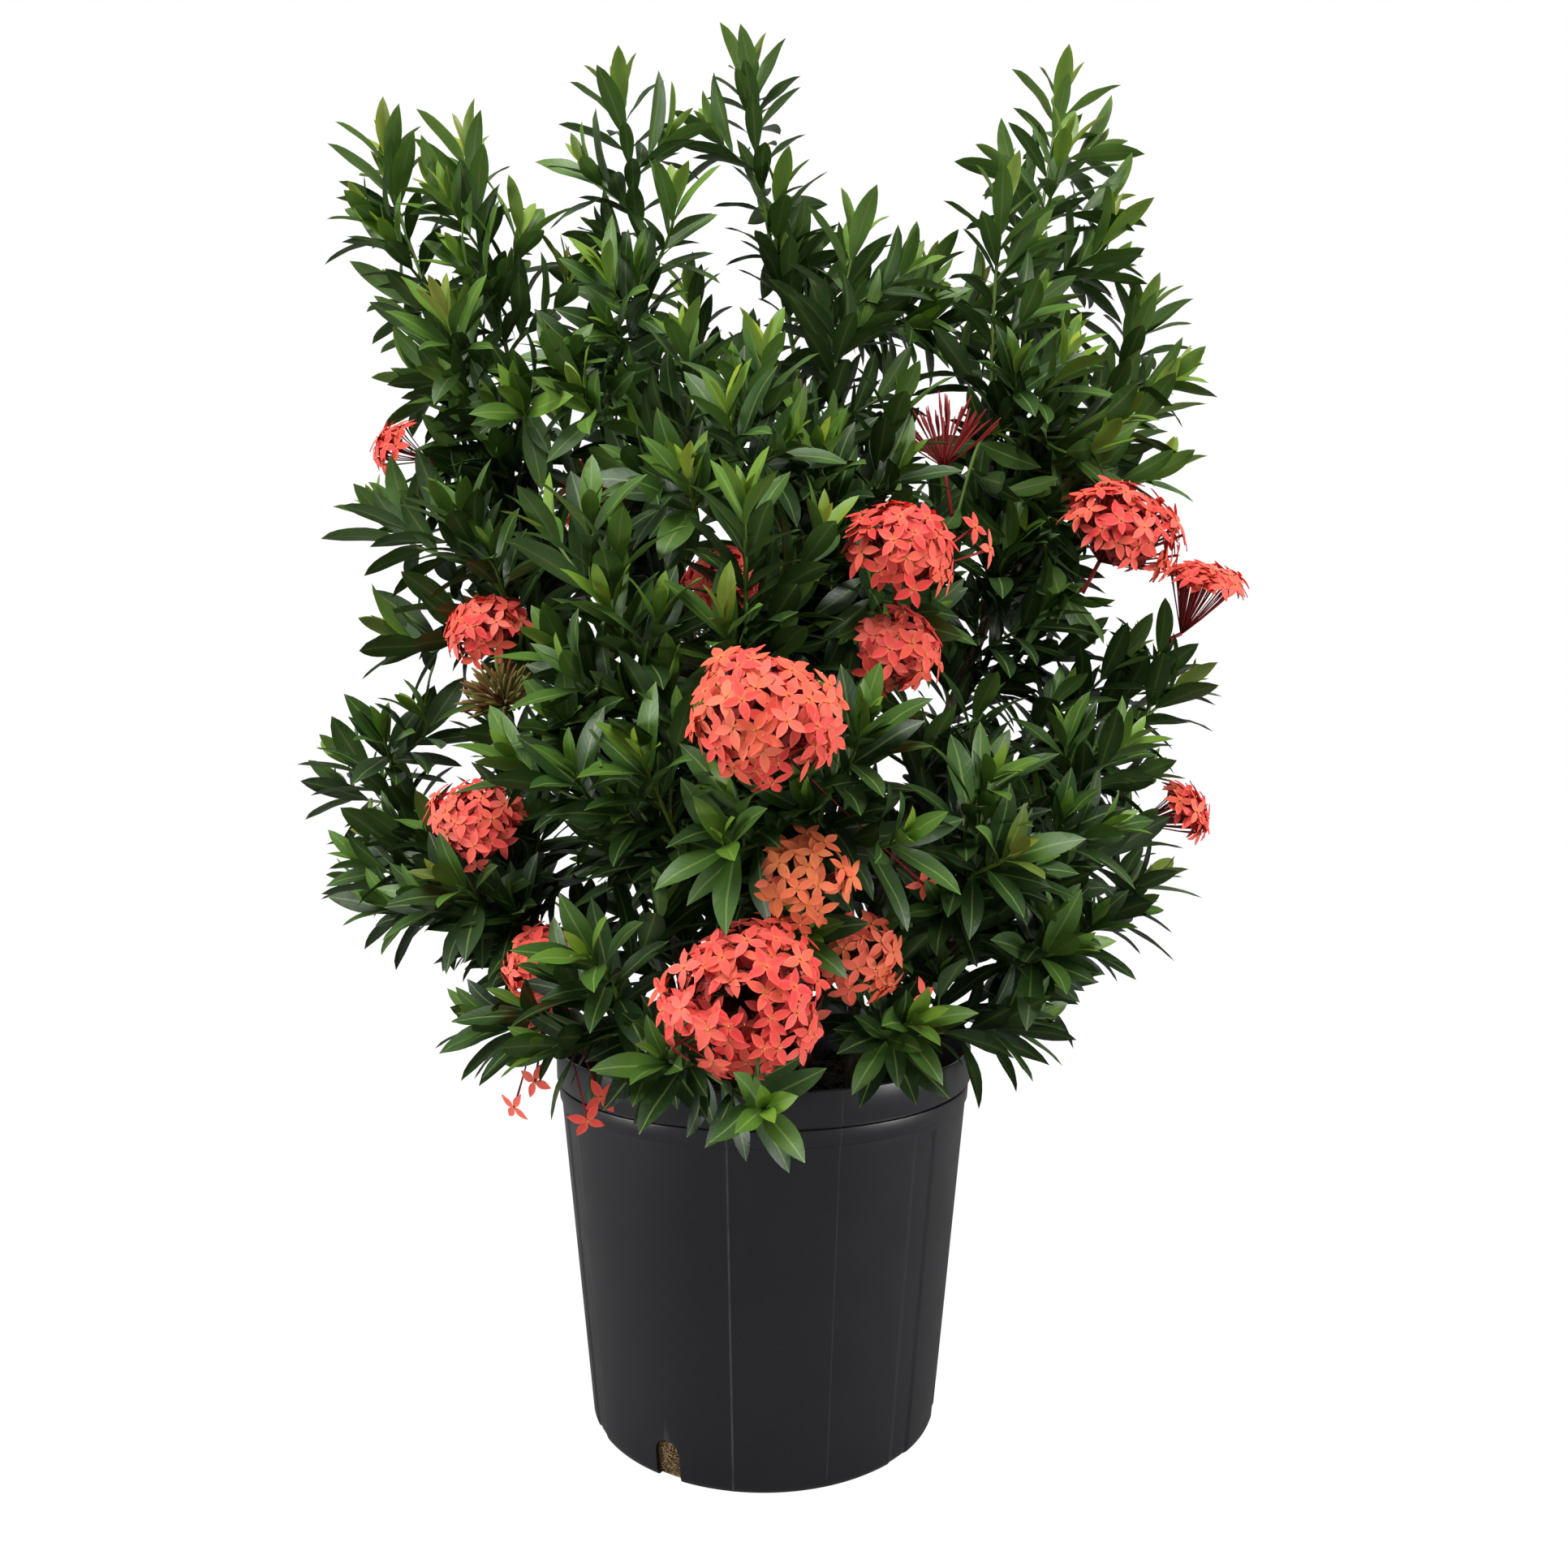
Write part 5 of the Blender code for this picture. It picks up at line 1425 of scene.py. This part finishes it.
shares = np.linspace(0.0, 1.0, 6)
for azimuth in SLOT_AZIMUTHS:
    for number in range(ROOTS_PER_SLOT):
        behind = grow.uniform(0.0008, 0.0045)
        start, end = (math.radians(azimuth + grow.uniform(-5.0, 5.0)) for _ in range(2))
        low, high = (grow.uniform(*ROOT_LEVELS) for _ in range(2))
        turns = start + (end - start) * shares + 0.012 * np.sin(shares * 9.0 + number)
        path = inside_wall(turns, low + (high - low) * shares, behind - 0.0012 * np.sin(shares * math.pi))
        radii = np.full(6, grow.uniform(0.0002, 0.00045))
        add_tube(gather, path, radii, 5, (1.0, grow.random(), 0.0, 1.0))
    for level in LOW_ROOT_LEVELS:
        turns = np.radians(azimuth + np.linspace(-4.2, 4.2, 6))
        path = inside_wall(turns, np.full(6, level), LOW_ROOT_BEHIND)
        add_tube(gather, path, np.full(6, 0.0011), 6, (1.0, grow.random(), 0.0, 1.0))
piece = gather.build("potting_mix_fine", soil.material)
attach(piece, "root")
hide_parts("potting_mix")
print("chips and roots", len(gather.blocks) - 1)

# %% [markdown]
# The picture is a cut-out on white, taken from about the height of the plant's middle with a wide lens. The
# camera was placed from the ellipses of the pot's rim and foot, with its focal length in the photograph's
# own pixels and its axis a little off the middle.

# %% Camera
FOCAL = 1500.0
PHOTO_SIDE = 1932.0
AXIS_ACROSS = 941.0
SENSOR = 36.0
CAMERA_PLACE = (0.0, -0.82, 0.427)
CAMERA_DIP = 0.0148
camera = new_object("camera", bpy.data.cameras.new("camera"))
camera.data.sensor_width = SENSOR
camera.data.lens = FOCAL / PHOTO_SIDE * SENSOR
camera.data.shift_x = (PHOTO_SIDE / 2 - AXIS_ACROSS) / PHOTO_SIDE
camera.location = CAMERA_PLACE
camera.rotation_euler = (math.pi / 2 - CAMERA_DIP, 0.0, 0.0)
bpy.context.scene.camera = camera
print("lens", round(camera.data.lens, 1), "mm")

# %% [markdown]
# The world and the floor look pure white to the camera, but light the plant more weakly. A light path node
# does that: it tells a ray from the camera from one that bounces. A large soft light stands in front and
# above, and two low ones at the sides draw the long sheens on the pot.

# %% World, floor and lights
WORLD_LIGHT = 0.42
FLOOR_GREY = 0.35
FLOOR_CORNERS = [(-4, -3, 0), (4, -3, 0), (4, 5, 0), (-4, 5, 0)]
# where each light stands, what it is aimed at, its size in metres and its power in watts
LIGHTS = {
    "key": ((-0.3, -1.3, 2.4), (0.0, 0.0, 0.5), 1.5, 67.0),
    "right": ((1.8, -0.7, 0.45), (0.0, 0.0, 0.2), 0.5, 22.0),
    "left": ((-1.8, -0.6, 0.45), (0.0, 0.0, 0.2), 0.6, 22.0),
}
world = bpy.data.worlds.new("studio")
world.use_nodes = True
bpy.context.scene.world = world
studio = Wiring(world.node_tree)
sky = world.node_tree.nodes["Background"]
seen = studio.add("LightPath").outputs["Is Camera Ray"]
studio.put((1.0, 1.0, 1.0), sky.inputs["Color"])
studio.put(studio.math("MULTIPLY_ADD", seen, 1.0 - WORLD_LIGHT, WORLD_LIGHT), sky.inputs["Strength"])

ground = Finish("floor", 1.0, 0.0)
ground.put((FLOOR_GREY, FLOOR_GREY, FLOOR_GREY), ground.inputs["Base Color"])
seen = ground.math("MULTIPLY", ground.add("LightPath").outputs["Is Camera Ray"], 0.88)
ground.blend_with("Emission", "Strength", 1.12, seen)
floor_mesh = bpy.data.meshes.new("floor")
floor_mesh.from_pydata(FLOOR_CORNERS, [], [(0, 1, 2, 3)])
floor_mesh.materials.append(ground.material)
floor = new_object("floor", floor_mesh)

for name, (location, target, size, power) in LIGHTS.items():
    light = new_object(name, bpy.data.lights.new(name, "AREA"))
    light.data.size = size
    light.data.energy = power
    light.location = location
    light.rotation_euler = (Vector(target) - Vector(location)).to_track_quat("-Z", "Y").to_euler()
bpy.context.scene.view_settings.view_transform = "Standard"
print("lights", len(LIGHTS))
